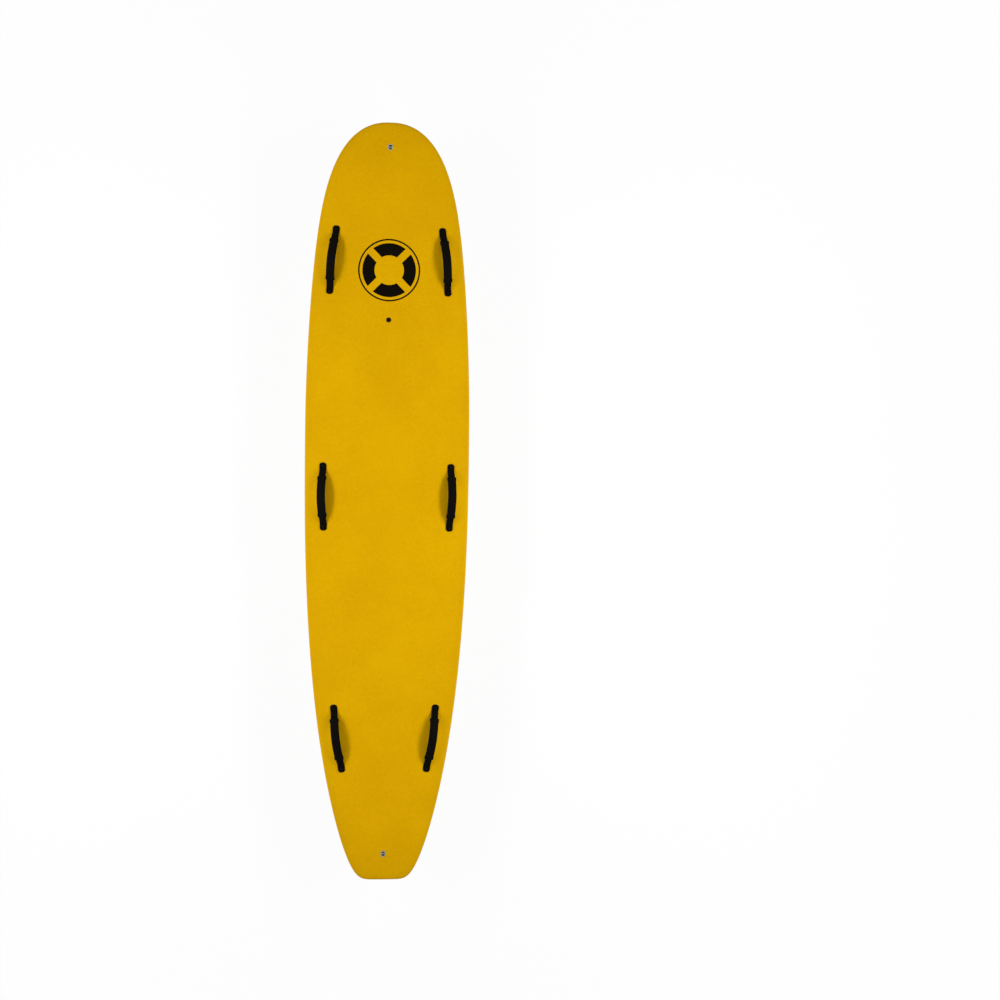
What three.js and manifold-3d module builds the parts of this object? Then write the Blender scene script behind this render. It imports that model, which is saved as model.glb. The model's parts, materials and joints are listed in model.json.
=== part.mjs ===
// A soft-top lifeguard rescue board: a foam core on two stringers, a foam deck, a slick bottom,
// six carry handles, a towing plug at each end, a vent, and one fin that slides in its box.
// Millimetres. +Z is up out of the deck and +Y is towards the nose. The origin is on the flat
// of the bottom, half way along.
import * as THREE from "three";
import { mergeVertices } from "three/addons/utils/BufferGeometryUtils.js";
import Module from "manifold-3d";

const wasm = await Module();
wasm.setup();

// Clearances, how far a cut runs past what it cuts, and the step that a slope is measured over
const seatGap = 0.3;
const cutOverrun = 10;
const probeStep = 10;

// Hull
const boardLength = 3200;
const boardWidth = 702;
const boardThickness = 115;
const noseRocker = 145;
const tailRocker = 78;
const flatLength = 560;
const noseTipThickness = 16;
const tailTipThickness = 18;
const tuckWidth = 70;
const skinThickness = 5;
const railBandWidth = 19.5;
const tipBandWidth = 6;
const tailBandWidth = 8.5;
const stringerThickness = 5;
const stringerSpacing = 220;

// How the outline narrows and closes, as shares of half the length and half the width
const widestShare = 0.2;
const noseTaperShare = 0.286;
const noseTaperPower = 1.93;
const noseRoundPower = 7.85;
const noseClosePower = 0.44;
const tailTaperShare = 0.55;
const tailTaperPower = 2.65;
const tailRoundPower = 8.1;
const tailClosePower = 0.161;
const tipShare = 0.9995;

// How the rocker, the foil, the section and the rail band bend
const noseRockerPower = 2.6;
const tailRockerPower = 2;
const thickestShare = 0.05;
const noseFoilPower = 2.4;
const tailFoilPower = 2.8;
const foilEndPower = 0.65;
const apexShare = 0.42;
const crownPower = 2.5;
const tuckShare = 0.45;
const noseBandPower = 4;
const tailBandPower = 1;

// Facets
const stationCount = 28;
const tuckSteps = 3;
const crownSteps = 5;
const roundSides = 10;
const cornerSteps = 2;
const ovalSteps = 7;
const hexSides = 6;
const stationSpacing = 40;

// Carry handles: the strap, the padded grip round it, and the screws and inserts that hold it
const handleLength = 288;
const strapWidth = 30;
const strapThickness = 3;
const strapEndRadius = 12;
const tabLength = 32;
const tabSole = 4;
const archHeight = 38;
const gripLength = 172;
const gripWidth = 35;
const gripThickness = 13;
const gripCollarWidth = 39;
const gripCollarLength = 12;
const gripCollarTaper = 5;
const gripSteps = 6;
const gripRoundPower = 3;
const strapScrewInset = 14;
const strapScrewRadius = 2.5;
const strapScrewReach = 30;
const strapHeadRadius = 6.5;
const strapHeadHeight = 3.2;
const strapHeadRim = 1.1;
const strapHeadTopRadius = 4.3;
const strapHexRadius = 2.4;
const strapHexDepth = 1.6;
const insertRadius = 8;
const insertLength = 26;
const insertFloor = 2;
const insertSeatOverrun = 12;

// Where the middle of each handle lies: in from the rail, behind the nose, ahead of the middle or
// ahead of the tail, and the degrees that it toes in towards the nose
const handleRailInset = 81;
const frontHandleSetback = 575;
const frontToeAngle = 5.8;
const middleHandleAhead = 26;
const middleToeAngle = -1;
const rearHandleSetback = 604;
const rearToeAngle = -7.9;

// Towing plugs: an oval cup under a crossbar, at each end
const nosePlugSetback = 106;
const tailPlugSetback = 117;
const plugRimWidth = 22;
const plugRimLength = 27;
const plugRimHeight = 2;
const plugBodyWidth = 19;
const plugBodyLength = 24;
const plugDepth = 20;
const plugWall = 2.2;
const plugFloor = 3;
const plugBarRadius = 2.3;
const plugBarLength = 18;

// Vent: a housing through the deck, closed by a screw on a seal ring
const ventSetback = 824;
const ventRimRadius = 10.5;
const ventRimHeight = 1.8;
const ventBodyRadius = 8.6;
const ventDepth = 19;
const ventHeadRadius = 6;
const ventHeadHeight = 2.4;
const ventBoreRadius = 3.4;
const ventScrewReach = 13;
const ventSealRadius = 5.2;
const ventSealHeight = 1.4;
const ventSlotWidth = 1.4;
const ventSlotDepth = 1.1;

// Fin box: a channel with a slot, an undercut track and a notch that lets the plate and pin in
const finBoxSetback = 187;
const finBoxLength = 282;
const finBoxWidth = 26;
const finBoxFlange = 2.5;
const finBoxLedge = 1.5;
const finBoxDepth = 25;
const finBoxCorner = 5;
const finBoxEndWall = 7.5;
const slotWidth = 9.6;
const slotDepth = 19;
const trackWidth = 15.4;
const trackFloor = 8;
const trackHeight = 5.5;
const notchWidth = 20;
const notchLength = 25;
const trackClearance = 0.6;

// Fin, with its front tab, its cross pin, and the screw and plate that clamp it
const finBase = 156;
const finDepth = 225;
const finRake = 268;
const finTipChord = 24;
const finTipThickness = 5;
const finHollow = 22;
const finLevels = 8;
const finSectionSteps = 6;
const finNoseShare = 0.35;
const finFrontPower = 3;
const finRearPower = 2;
const finTipPower = 12;
const finCrowdPower = 1.5;
const finTrailThickness = 1.4;
const finTabLength = 22;
const finTabFloor = 3.6;
const finTabThickness = 4;
const tangFloor = 2;
const finEndClearance = 2;
const pinRadius = 2;
const pinInset = 12;
const plateLength = 13;
const plateThickness = 3;
const finScrewRadius = 1.9;
const finScrewReach = 9.5;
const finHeadRadius = 3.5;
const finHeadHeight = 2.3;
const finHeadSlotWidth = 0.9;
const finHeadSlotDepth = 0.9;

function finish(color, roughness, metalness = 0) {
  return new THREE.MeshStandardMaterial({ color, roughness, metalness });
}

const deckFoam = () => finish(0xd9a000, 0.75);
const slickSheet = () => finish(0xc8c9c4, 0.35);
const coreFoam = () => finish(0xf1efe6, 0.9);
const stringerWood = () => finish(0xb98a55, 0.7);
const webbing = () => finish(0x0e0d0b, 0.85);
const gripRubber = () => finish(0x0b0b0a, 0.6);
const blackPlastic = () => finish(0x161614, 0.5);
const finPlastic = () => finish(0x3c3c38, 0.5);
const boxPlastic = () => finish(0xd2d3ce, 0.4);
const steel = () => finish(0x9c9e96, 0.35, 0.9);
const brass = () => finish(0xb08d4a, 0.4, 0.9);
const sealRubber = () => finish(0x111111, 0.7);

// Solids from three.js geometry, and back again
function solidFrom(geometry, place = new THREE.Matrix4()) {
  const bare = geometry.clone().applyMatrix4(place);
  bare.deleteAttribute("normal");
  bare.deleteAttribute("uv");
  const merged = mergeVertices(bare);
  const vertProperties = new Float32Array(merged.attributes.position.array);
  const triVerts = new Uint32Array(merged.index.array);
  return new wasm.Manifold(new wasm.Mesh({ numProp: 3, vertProperties, triVerts }));
}

function pieceMesh(name, solid, material) {
  const { vertProperties, triVerts } = solid.getMesh();
  const geometry = new THREE.BufferGeometry();
  geometry.setAttribute("position", new THREE.BufferAttribute(vertProperties, 3));
  geometry.setIndex(new THREE.BufferAttribute(triVerts, 1));
  const mesh = new THREE.Mesh(geometry, material);
  mesh.name = name;
  return mesh;
}

function moved(solid, place) {
  return solid.transform(place.elements);
}

function groupAt(place, meshes) {
  const group = new THREE.Group();
  place.decompose(group.position, group.quaternion, group.scale);
  group.add(...meshes);
  return group;
}

// A closed skin over rings of [x, y, z] points, all in one order, with a flat cap at each end.
// The right half's quads are split the other way, so that the two sides mirror each other.
function loft(rings) {
  const count = rings[0].length;
  const triangles = [];
  for (let ring = 0; ring < rings.length - 1; ring++) {
    for (let i = 0; i < count; i++) {
      const a = ring * count + i;
      const b = ring * count + (i + 1) % count;
      if (i < count / 2) triangles.push(a, a + count, b, b, a + count, b + count);
      else triangles.push(a, b + count, b, a, a + count, b + count);
    }
  }
  const last = (rings.length - 1) * count;
  for (let i = 1; i < count - 1; i++) {
    triangles.push(0, i, i + 1);
    triangles.push(last, last + i + 1, last + i);
  }
  const geometry = new THREE.BufferGeometry();
  geometry.setAttribute("position", new THREE.BufferAttribute(new Float32Array(rings.flat(2)), 3));
  geometry.setIndex(triangles);
  return solidFrom(geometry);
}

// A solid turned about +Z from [radius, height] points that go up from the axis and back to it
function turned(profile, sides = roundSides) {
  const points = profile.map(([radius, height]) => new THREE.Vector2(radius, height));
  return solidFrom(new THREE.LatheGeometry(points, sides), new THREE.Matrix4().makeRotationX(Math.PI / 2));
}

function rod(radius, low, high, sides = roundSides) {
  return turned([[0, low], [radius, low], [radius, high], [0, high]], sides);
}

function extruded(shape, low, high, curveSegments = cornerSteps) {
  const options = { depth: high - low, bevelEnabled: false, curveSegments };
  const geometry = new THREE.ExtrudeGeometry(shape, options);
  return solidFrom(geometry, new THREE.Matrix4().makeTranslation(0, 0, low));
}

function block(width, length, low, high, x = 0, y = 0) {
  const place = new THREE.Matrix4().makeTranslation(x, y, (low + high) / 2);
  return solidFrom(new THREE.BoxGeometry(width, length, high - low), place);
}

// An oblong outline, width across X and length along Y, with four round corners
function oblong(width, length, radius, y = 0) {
  const x = width / 2 - radius;
  const reach = length / 2 - radius;
  const shape = new THREE.Shape();
  shape.absarc(x, y + reach, radius, 0, Math.PI / 2);
  shape.absarc(-x, y + reach, radius, Math.PI / 2, Math.PI);
  shape.absarc(-x, y - reach, radius, Math.PI, Math.PI * 1.5);
  shape.absarc(x, y - reach, radius, Math.PI * 1.5, Math.PI * 2);
  return shape;
}

function ovalPost(width, length, low, high) {
  const shape = new THREE.Shape();
  shape.absellipse(0, 0, width / 2, length / 2, 0, Math.PI * 2);
  return extruded(shape, low, high, ovalSteps);
}

// Hull form. A share runs from -1 at the tail to 1 at the nose.
function halfWidthAt(share) {
  const place = share * tipShare;
  if (place > widestShare) {
    const u = (place - widestShare) / (1 - widestShare);
    const rounded = (1 - u ** noseRoundPower) ** noseClosePower;
    return boardWidth / 2 * (1 - noseTaperShare * u ** noseTaperPower) * rounded;
  }
  const u = (widestShare - place) / (1 + widestShare);
  const rounded = (1 - u ** tailRoundPower) ** tailClosePower;
  return boardWidth / 2 * (1 - tailTaperShare * u ** tailTaperPower) * rounded;
}

function thicknessAt(share) {
  const atNose = share > thickestShare;
  const u = Math.abs(share - thickestShare) / (atNose ? 1 - thickestShare : 1 + thickestShare);
  const tip = atNose ? noseTipThickness : tailTipThickness;
  const full = 1 - u ** (atNose ? noseFoilPower : tailFoilPower);
  return tip + (boardThickness - tip) * full ** foilEndPower;
}

function bottomHeightAt(share) {
  const past = Math.abs(share) * boardLength / 2 - flatLength / 2;
  if (past <= 0) return 0;
  const u = past / (boardLength / 2 - flatLength / 2);
  return share > 0 ? noseRocker * u ** noseRockerPower : tailRocker * u ** tailRockerPower;
}

// The widest points of the section lie at the apex, above which the deck's crown begins
function apexAt(share, inset = 0) {
  return (thicknessAt(share) - 2 * inset) * apexShare;
}

function deckHeightAt(x, y) {
  const share = y / (boardLength / 2);
  const rise = (1 - (Math.abs(x) / halfWidthAt(share)) ** crownPower) ** (1 / crownPower);
  return bottomHeightAt(share) + apexAt(share) + (thicknessAt(share) - apexAt(share)) * rise;
}

// One ring of the hull, pushed in by an inset all round, from the left edge of the flat, under
// the hull to the right and back over the deck
function hullRing(share, inset) {
  const y = share * (boardLength / 2 - inset);
  const half = halfWidthAt(share) - inset;
  const base = bottomHeightAt(share) + inset;
  const apex = apexAt(share, inset);
  const crown = thicknessAt(share) - 2 * inset - apex;
  const tuck = Math.min(tuckWidth, half * tuckShare);
  const right = [];
  for (let i = 0; i < tuckSteps; i++) {
    const angle = i / tuckSteps * Math.PI / 2;
    right.push([half - tuck + tuck * Math.sin(angle), y, base + apex - apex * Math.cos(angle)]);
  }
  for (let i = 0; i < crownSteps; i++) {
    const angle = i / crownSteps * Math.PI / 2;
    const across = half * Math.cos(angle) ** (2 / crownPower);
    right.push([across, y, base + apex + crown * Math.sin(angle) ** (2 / crownPower)]);
  }
  const left = right.map(([x, ...rest]) => [-x, ...rest]).reverse();
  return [...right, [0, y, base + apex + crown], ...left];
}

// Stations crowd towards the tips. The flat's ends and the fin box's ends have one each, and
// none lies between the box's ends, so that the bottom is straight under the box.
const finBoxRear = finBoxSetback - boardLength / 2;
const finBoxFront = finBoxRear + finBoxLength;
const fixedShares = [-flatLength, flatLength, 2 * finBoxRear, 2 * finBoxFront].map((y) => y / boardLength);

function stationShares() {
  const clearShare = stationSpacing / boardLength;
  const shares = [...fixedShares];
  for (let i = 0; i <= stationCount; i++) {
    const share = Math.sin((i / stationCount - 1 / 2) * Math.PI);
    const inBox = share > fixedShares[2] && share < fixedShares[3];
    const crowded = fixedShares.some((fixed) => Math.abs(fixed - share) < clearShare);
    if (!inBox && !crowded) shares.push(share);
  }
  return shares.sort((a, b) => a - b);
}

const stations = stationShares();
const hull = (inset) => loft(stations.map((share) => hullRing(share, inset)));
const hullSpace = hull(-seatGap);

// The deck foam's rail band, which narrows towards both ends
function bandWidthAt(share) {
  const atNose = share > 0;
  const full = 1 - Math.abs(share) ** (atNose ? noseBandPower : tailBandPower);
  const end = atNose ? tipBandWidth : tailBandWidth;
  return end + (railBandWidth - end) * full;
}

// The space inside the seam between the slick bottom and the rail band
function bottomPanelSpace(gap) {
  return loft(stations.map((share) => {
    const half = halfWidthAt(share) - bandWidthAt(share) + gap;
    const y = share * (boardLength / 2 - tipBandWidth + gap);
    const low = bottomHeightAt(share) - cutOverrun;
    const high = bottomHeightAt(share) + apexAt(share);
    return [[-half, y, low], [half, y, low], [half, y, high], [-half, y, high]];
  }));
}

// A place on the deck: its Z stands square to the deck, and its Y runs forwards, turned by toe
// degrees towards +X, along the chord from one reach behind the place to one reach ahead
function deckPlace(x, y, toe = 0, reach = probeStep) {
  const turn = THREE.MathUtils.degToRad(toe);
  const at = (side, ahead) => {
    const px = x + side * Math.cos(turn) + ahead * Math.sin(turn);
    const py = y + ahead * Math.cos(turn) - side * Math.sin(turn);
    return new THREE.Vector3(px, py, deckHeightAt(px, py));
  };
  const fore = at(0, reach);
  const aft = at(0, -reach);
  const forward = fore.clone().sub(aft).normalize();
  const side = at(probeStep, 0).sub(at(-probeStep, 0)).normalize();
  const up = new THREE.Vector3().crossVectors(side, forward).normalize();
  const across = new THREE.Vector3().crossVectors(forward, up);
  const middle = fore.lerp(aft, 1 / 2);
  return new THREE.Matrix4().makeBasis(across, forward, up).setPosition(middle);
}

// What stands on the deck is trimmed to the deck's own surface
function seatedOnDeck(solid, place) {
  return solid.subtract(moved(hullSpace, place.clone().invert()));
}

const deckHoles = [];
const coreHoles = [];
const bottomHoles = [];

// Carry handles
const tabEnd = handleLength / 2;
const archEnd = tabEnd - tabLength;
const screwPlace = tabEnd - strapScrewInset;

function archPoint(y) {
  return [y, strapThickness / 2 + archHeight * (1 - (y / archEnd) ** 2)];
}

// The grip's collars taper down to its body between these two places
const collarEdge = gripLength / 2 - gripCollarLength;
const gripBodyEnd = collarEdge - gripCollarTaper;

function gripPath() {
  const body = Array.from({ length: gripSteps + 1 }, (_, i) => (2 * i / gripSteps - 1) * gripBodyEnd);
  return [-gripLength / 2, -collarEdge, ...body, collarEdge, gripLength / 2].map(archPoint);
}

function strapPath() {
  const between = (archEnd + gripLength / 2) / 2;
  const flat = strapThickness / 2;
  const rear = [[-tabEnd, flat], [-archEnd, flat], archPoint(-between)];
  const front = [archPoint(between), [archEnd, flat], [tabEnd, flat]];
  return [...rear, ...gripPath(), ...front];
}

// Sweeps a section along a path of [y, z] points: sectionAt gives its [x, up] points at each y
function swept(path, sectionAt) {
  return loft(path.map(([y, z], i) => {
    const before = path[Math.max(i - 1, 0)];
    const after = path[Math.min(i + 1, path.length - 1)];
    const run = Math.hypot(after[0] - before[0], after[1] - before[1]);
    const [alongY, alongZ] = [(after[0] - before[0]) / run, (after[1] - before[1]) / run];
    return sectionAt(y).map(([x, up]) => [x, y - alongZ * up, z + alongY * up]);
  }));
}

function strapSection(gap) {
  const [x, up] = [strapWidth / 2 + gap, strapThickness / 2 + gap];
  return [[-x, -up], [x, -up], [x, up], [-x, up]];
}

function gripSection(y) {
  const width = Math.abs(y) > gripBodyEnd ? gripCollarWidth : gripWidth;
  return Array.from({ length: roundSides }, (_, i) => {
    const angle = (i + 1 / 2) / roundSides * Math.PI * 2;
    const round = (part) => Math.sign(part) * Math.abs(part) ** (2 / gripRoundPower);
    return [width / 2 * round(Math.sin(angle)), -gripThickness / 2 * round(Math.cos(angle))];
  });
}

function handleStrap(place) {
  const outline = oblong(strapWidth, handleLength, strapEndRadius);
  const outlineSpace = extruded(outline, -cutOverrun, archHeight + cutOverrun);
  let strap = swept(strapPath(), () => strapSection(0));
  for (const end of [-1, 1]) {
    const y = end * (tabEnd - tabLength / 2);
    strap = strap.add(block(strapWidth, tabLength, -tabSole, strapThickness / 2, 0, y));
  }
  strap = seatedOnDeck(strap.intersect(outlineSpace), place);
  for (const end of [-1, 1]) {
    const hole = rod(strapScrewRadius + seatGap, -cutOverrun, strapThickness + cutOverrun);
    strap = strap.subtract(hole.translate([0, end * screwPlace, 0]));
  }
  return strap;
}

function handleGrip() {
  return swept(gripPath(), gripSection).subtract(swept(strapPath(), () => strapSection(seatGap)));
}

function strapScrew() {
  const headFloor = strapThickness + seatGap;
  const headTop = headFloor + strapHeadHeight;
  const screw = turned([
    [0, headFloor - strapScrewReach],
    [strapScrewRadius, headFloor - strapScrewReach],
    [strapScrewRadius, headFloor],
    [strapHeadRadius, headFloor],
    [strapHeadRadius, headFloor + strapHeadRim],
    [strapHeadTopRadius, headTop],
    [0, headTop],
  ]);
  return screw.subtract(rod(strapHexRadius, headTop - strapHexDepth, headTop + cutOverrun, hexSides));
}

function threadedInsert(place) {
  const top = -skinThickness - seatGap;
  const low = top - insertLength;
  const body = rod(insertRadius, low, insertSeatOverrun);
  const bore = rod(strapScrewRadius + seatGap, low + insertFloor, insertSeatOverrun + cutOverrun);
  const inHull = moved(coreSpace, place.clone().invert());
  return body.subtract(bore).intersect(inHull);
}

// A handle on one side of the board, -1 for the left and 1 for the right
function carryHandle(name, side, ahead, toe) {
  const out = halfWidthAt(ahead / (boardLength / 2)) - handleRailInset;
  const place = deckPlace(side * out, ahead, -side * toe, screwPlace);
  const handle = groupAt(place, [
    pieceMesh(`${name}_strap`, handleStrap(place), webbing()),
    pieceMesh(`${name}_grip`, handleGrip(), gripRubber()),
  ]);
  for (const [end, label] of [[1, "fore"], [-1, "aft"]]) {
    const endPlace = place.clone().multiply(new THREE.Matrix4().makeTranslation(0, end * screwPlace, 0));
    handle.add(groupAt(new THREE.Matrix4().makeTranslation(0, end * screwPlace, 0), [
      pieceMesh(`${name}_${label}_screw`, strapScrew(), steel()),
      pieceMesh(`${name}_${label}_insert`, threadedInsert(endPlace), brass()),
    ]));
    const insertSpace = -skinThickness - insertLength - 2 * seatGap;
    deckHoles.push(moved(rod(strapScrewRadius + seatGap, -boardThickness / 2, cutOverrun), endPlace));
    coreHoles.push(moved(rod(insertRadius + seatGap, insertSpace, cutOverrun), endPlace));
  }
  return handle;
}

// Towing plugs
function plugBar(gap) {
  const place = new THREE.Matrix4().makeTranslation(0, 0, plugRimHeight - plugBarRadius);
  const length = plugBarLength + 2 * gap;
  const bar = rod(plugBarRadius + gap, -length / 2, length / 2);
  return moved(bar, place.multiply(new THREE.Matrix4().makeRotationY(Math.PI / 2)));
}

function plugCup(place) {
  const rim = ovalPost(plugRimWidth, plugRimLength, -cutOverrun, plugRimHeight);
  const body = ovalPost(plugBodyWidth, plugBodyLength, -plugDepth, plugRimHeight);
  const hollowWidth = plugBodyWidth - 2 * plugWall;
  const hollowLength = plugBodyLength - 2 * plugWall;
  const hollow = ovalPost(hollowWidth, hollowLength, plugFloor - plugDepth, plugRimHeight + cutOverrun);
  return seatedOnDeck(rim, place).add(body).subtract(hollow).subtract(plugBar(seatGap));
}

function towingPlug(name, y) {
  const place = deckPlace(0, y);
  const [pocketWidth, pocketLength] = [plugBodyWidth + 2 * seatGap, plugBodyLength + 2 * seatGap];
  const pocket = ovalPost(pocketWidth, pocketLength, -plugDepth - seatGap, cutOverrun);
  deckHoles.push(moved(pocket, place));
  coreHoles.push(moved(pocket, place));
  return groupAt(place, [
    pieceMesh(`${name}_plug_cup`, plugCup(place), steel()),
    pieceMesh(`${name}_plug_bar`, plugBar(0), steel()),
  ]);
}

// Vent
const ventSealFloor = ventRimHeight - ventHeadHeight - ventSealHeight - seatGap;

function ventHousing(place) {
  const rim = seatedOnDeck(rod(ventRimRadius, -cutOverrun, ventRimHeight), place);
  const body = rod(ventBodyRadius, -ventDepth, ventRimHeight);
  const headSpace = rod(ventHeadRadius + seatGap, ventSealFloor - seatGap, ventRimHeight + cutOverrun);
  const bore = rod(ventBoreRadius + seatGap, -ventDepth - cutOverrun, cutOverrun);
  return rim.add(body).subtract(headSpace).subtract(bore);
}

function ventScrew() {
  const head = rod(ventHeadRadius, ventRimHeight - ventHeadHeight, ventRimHeight);
  const shank = rod(ventBoreRadius, ventRimHeight - ventScrewReach, ventRimHeight - ventHeadHeight / 2);
  const slotFloor = ventRimHeight - ventSlotDepth;
  const slot = block(ventSlotWidth, 2 * ventHeadRadius + cutOverrun, slotFloor, cutOverrun);
  return head.add(shank).subtract(slot);
}

function ventSeal() {
  const ring = rod(ventSealRadius, ventSealFloor, ventSealFloor + ventSealHeight);
  return ring.subtract(rod(ventBoreRadius + seatGap, ventSealFloor - cutOverrun, cutOverrun));
}

function deckVent() {
  const place = deckPlace(0, boardLength / 2 - ventSetback);
  const pocket = rod(ventBodyRadius + seatGap, -ventDepth - seatGap, cutOverrun);
  deckHoles.push(moved(pocket, place));
  coreHoles.push(moved(pocket, place));
  return groupAt(place, [
    pieceMesh("vent_housing", ventHousing(place), blackPlastic()),
    pieceMesh("vent_screw", ventScrew(), steel()),
    pieceMesh("vent_seal", ventSeal(), sealRubber()),
  ]);
}

// Fin box, in a frame on the bottom under it: Y runs forwards along the bottom and Z up into the hull
const slotLength = finBoxLength - 2 * finBoxEndWall;

function finBoxPlace() {
  const rearHeight = bottomHeightAt(2 * finBoxRear / boardLength);
  const frontHeight = bottomHeightAt(2 * finBoxFront / boardLength);
  const pitch = Math.atan2(frontHeight - rearHeight, finBoxLength);
  const middle = new THREE.Vector3(0, (finBoxRear + finBoxFront) / 2, (rearHeight + frontHeight) / 2);
  return new THREE.Matrix4().makeRotationX(pitch).setPosition(middle);
}

function finBoxForm(gap, low) {
  const bodyWidth = finBoxWidth - 2 * finBoxLedge + 2 * gap;
  const bodyLength = finBoxLength - 2 * finBoxLedge + 2 * gap;
  const flange = oblong(finBoxWidth + 2 * gap, finBoxLength + 2 * gap, finBoxCorner);
  const body = oblong(bodyWidth, bodyLength, finBoxCorner);
  return extruded(flange, low, finBoxFlange + gap).add(extruded(body, low, finBoxDepth + gap));
}

function finBox() {
  const endRadius = slotWidth / 2;
  const trackTop = trackFloor + trackHeight;
  const slot = extruded(oblong(slotWidth, slotLength, endRadius), -cutOverrun, slotDepth);
  const track = extruded(oblong(trackWidth, slotLength, endRadius), trackFloor, trackTop);
  const notch = block(notchWidth, notchLength, -cutOverrun, trackTop);
  return finBoxForm(0, 0).subtract(slot).subtract(track).subtract(notch);
}

// Fin. Its front edge starts behind the tab, which starts a clearance behind the slot's front end.
const finTabFront = slotLength / 2 - finEndClearance;
const finFront = finTabFront - finTabLength;
const finThickness = slotWidth - 2 * seatGap;
const finScrewPlace = finTabFront - finTabLength / 2;
const pinPlace = finFront - finBase + pinInset;
const pinHeight = trackFloor + seatGap + pinRadius;

// The fin's outline at a share of its depth: where its front and rear edges are, behind finFront
function finEdges(share) {
  const tipFront = finRake - finTipChord;
  const front = tipFront * (share + share ** finFrontPower) / 2;
  const hollow = finHollow * Math.sin(share * Math.PI);
  const rear = finBase + (finRake - finBase) * share ** finRearPower - hollow;
  const close = (rear - front) * (1 - Math.sqrt(1 - share ** finTipPower)) / 2;
  return [front + close, rear - close / 2];
}

function finRing(share, height) {
  const [front, rear] = finEdges(share * tipShare);
  const chord = rear - front;
  const thickness = finThickness + (finTipThickness - finThickness) * share;
  const fullness = (u) => {
    if (u < finNoseShare) return Math.sqrt(1 - (1 - u / finNoseShare) ** 2);
    return 1 - (1 - finTrailThickness / thickness) * ((u - finNoseShare) / (1 - finNoseShare)) ** 2;
  };
  const side = (sign) => Array.from({ length: finSectionSteps + 1 }, (_, i) => {
    const u = (i / finSectionSteps) ** finCrowdPower;
    return [sign * thickness / 2 * fullness(u), finFront - front - u * chord, height];
  });
  return [...side(-1), ...side(1).reverse().slice(0, -1)];
}

function finTang() {
  const endRadius = finThickness / 2;
  const tangOutline = oblong(finThickness, finBase, endRadius, finFront - finBase / 2);
  const tang = extruded(tangOutline, tangFloor, slotDepth - finEndClearance);
  const tabOutline = oblong(finThickness, 2 * finTabLength, endRadius, finFront);
  const tab = extruded(tabOutline, finTabFloor, finTabFloor + finTabThickness);
  const pinHole = moved(rod(pinRadius + seatGap, -trackWidth, trackWidth), pinAxis());
  const screwHole = rod(finScrewRadius + seatGap, -cutOverrun, slotDepth).translate([0, finScrewPlace, 0]);
  return tang.add(tab).subtract(pinHole).subtract(screwHole);
}

function finBlade() {
  const rings = [finRing(0, tangFloor + seatGap)];
  for (let i = 0; i <= finLevels; i++) {
    const share = Math.sin(i / finLevels * Math.PI / 2);
    rings.push(finRing(share, -share * finDepth));
  }
  return loft(rings);
}

function pinAxis() {
  const place = new THREE.Matrix4().makeTranslation(0, pinPlace, pinHeight);
  return place.multiply(new THREE.Matrix4().makeRotationY(Math.PI / 2));
}

function finPin() {
  const reach = trackWidth / 2 - trackClearance;
  return moved(rod(pinRadius, -reach, reach), pinAxis());
}

function finPlate() {
  const low = trackFloor + seatGap;
  const width = trackWidth - 2 * trackClearance;
  const plate = block(width, plateLength, low, low + plateThickness);
  return plate.subtract(rod(finScrewRadius + seatGap, 0, slotDepth));
}

function finScrew() {
  const headTop = finTabFloor - seatGap;
  const headLow = headTop - finHeadHeight;
  const screw = turned([
    [0, headLow],
    [finHeadRadius, headLow],
    [finHeadRadius, headTop],
    [finScrewRadius, headTop],
    [finScrewRadius, headTop + finScrewReach],
    [0, headTop + finScrewReach],
  ]);
  const slotTop = headLow + finHeadSlotDepth;
  const slot = block(finHeadSlotWidth, 2 * finHeadRadius + cutOverrun, -cutOverrun, slotTop);
  return screw.subtract(slot);
}

function finAndBox() {
  const place = finBoxPlace();
  bottomHoles.push(moved(finBoxForm(seatGap, -cutOverrun), place));
  coreHoles.push(moved(finBoxForm(seatGap, -cutOverrun), place));
  return groupAt(place, [
    pieceMesh("fin_box", finBox(), boxPlastic()),
    pieceMesh("fin", finBlade().add(finTang()), finPlastic()),
    pieceMesh("fin_pin", finPin(), brass()),
    groupAt(new THREE.Matrix4().makeTranslation(0, finScrewPlace, 0), [
      pieceMesh("fin_screw", finScrew(), steel()),
      pieceMesh("fin_plate", finPlate(), steel()),
    ]),
  ]);
}

// Hull pieces
const coreSpace = hull(skinThickness + seatGap);

function slab(from, to) {
  const height = boardThickness + Math.max(noseRocker, tailRocker);
  return block(to - from, boardLength, -cutOverrun, height + cutOverrun, (from + to) / 2);
}

function cutAll(solid, holes) {
  return holes.reduce((left, hole) => left.subtract(hole), solid);
}

function hullPieces() {
  const shell = hull(0).subtract(hull(skinThickness));
  const deck = cutAll(shell.subtract(bottomPanelSpace(seatGap)), deckHoles);
  const bottom = cutAll(shell.intersect(bottomPanelSpace(0)), bottomHoles);
  const inner = stringerSpacing / 2 - stringerThickness / 2;
  const outer = stringerSpacing / 2 + stringerThickness / 2;
  const half = boardWidth / 2;
  const coreBetween = (from, to) => cutAll(coreSpace.intersect(slab(from, to)), coreHoles);
  return [
    pieceMesh("deck_skin", deck, deckFoam()),
    pieceMesh("bottom_skin", bottom, slickSheet()),
    pieceMesh("core_left", coreBetween(-half, -outer - seatGap), coreFoam()),
    pieceMesh("core_middle", coreBetween(-inner + seatGap, inner - seatGap), coreFoam()),
    pieceMesh("core_right", coreBetween(outer + seatGap, half), coreFoam()),
    pieceMesh("stringer_left", coreSpace.intersect(slab(-outer, -inner)), stringerWood()),
    pieceMesh("stringer_right", coreSpace.intersect(slab(inner, outer)), stringerWood()),
  ];
}

const handleRows = [
  ["front", boardLength / 2 - frontHandleSetback, frontToeAngle],
  ["middle", middleHandleAhead, middleToeAngle],
  ["rear", rearHandleSetback - boardLength / 2, rearToeAngle],
];

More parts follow.
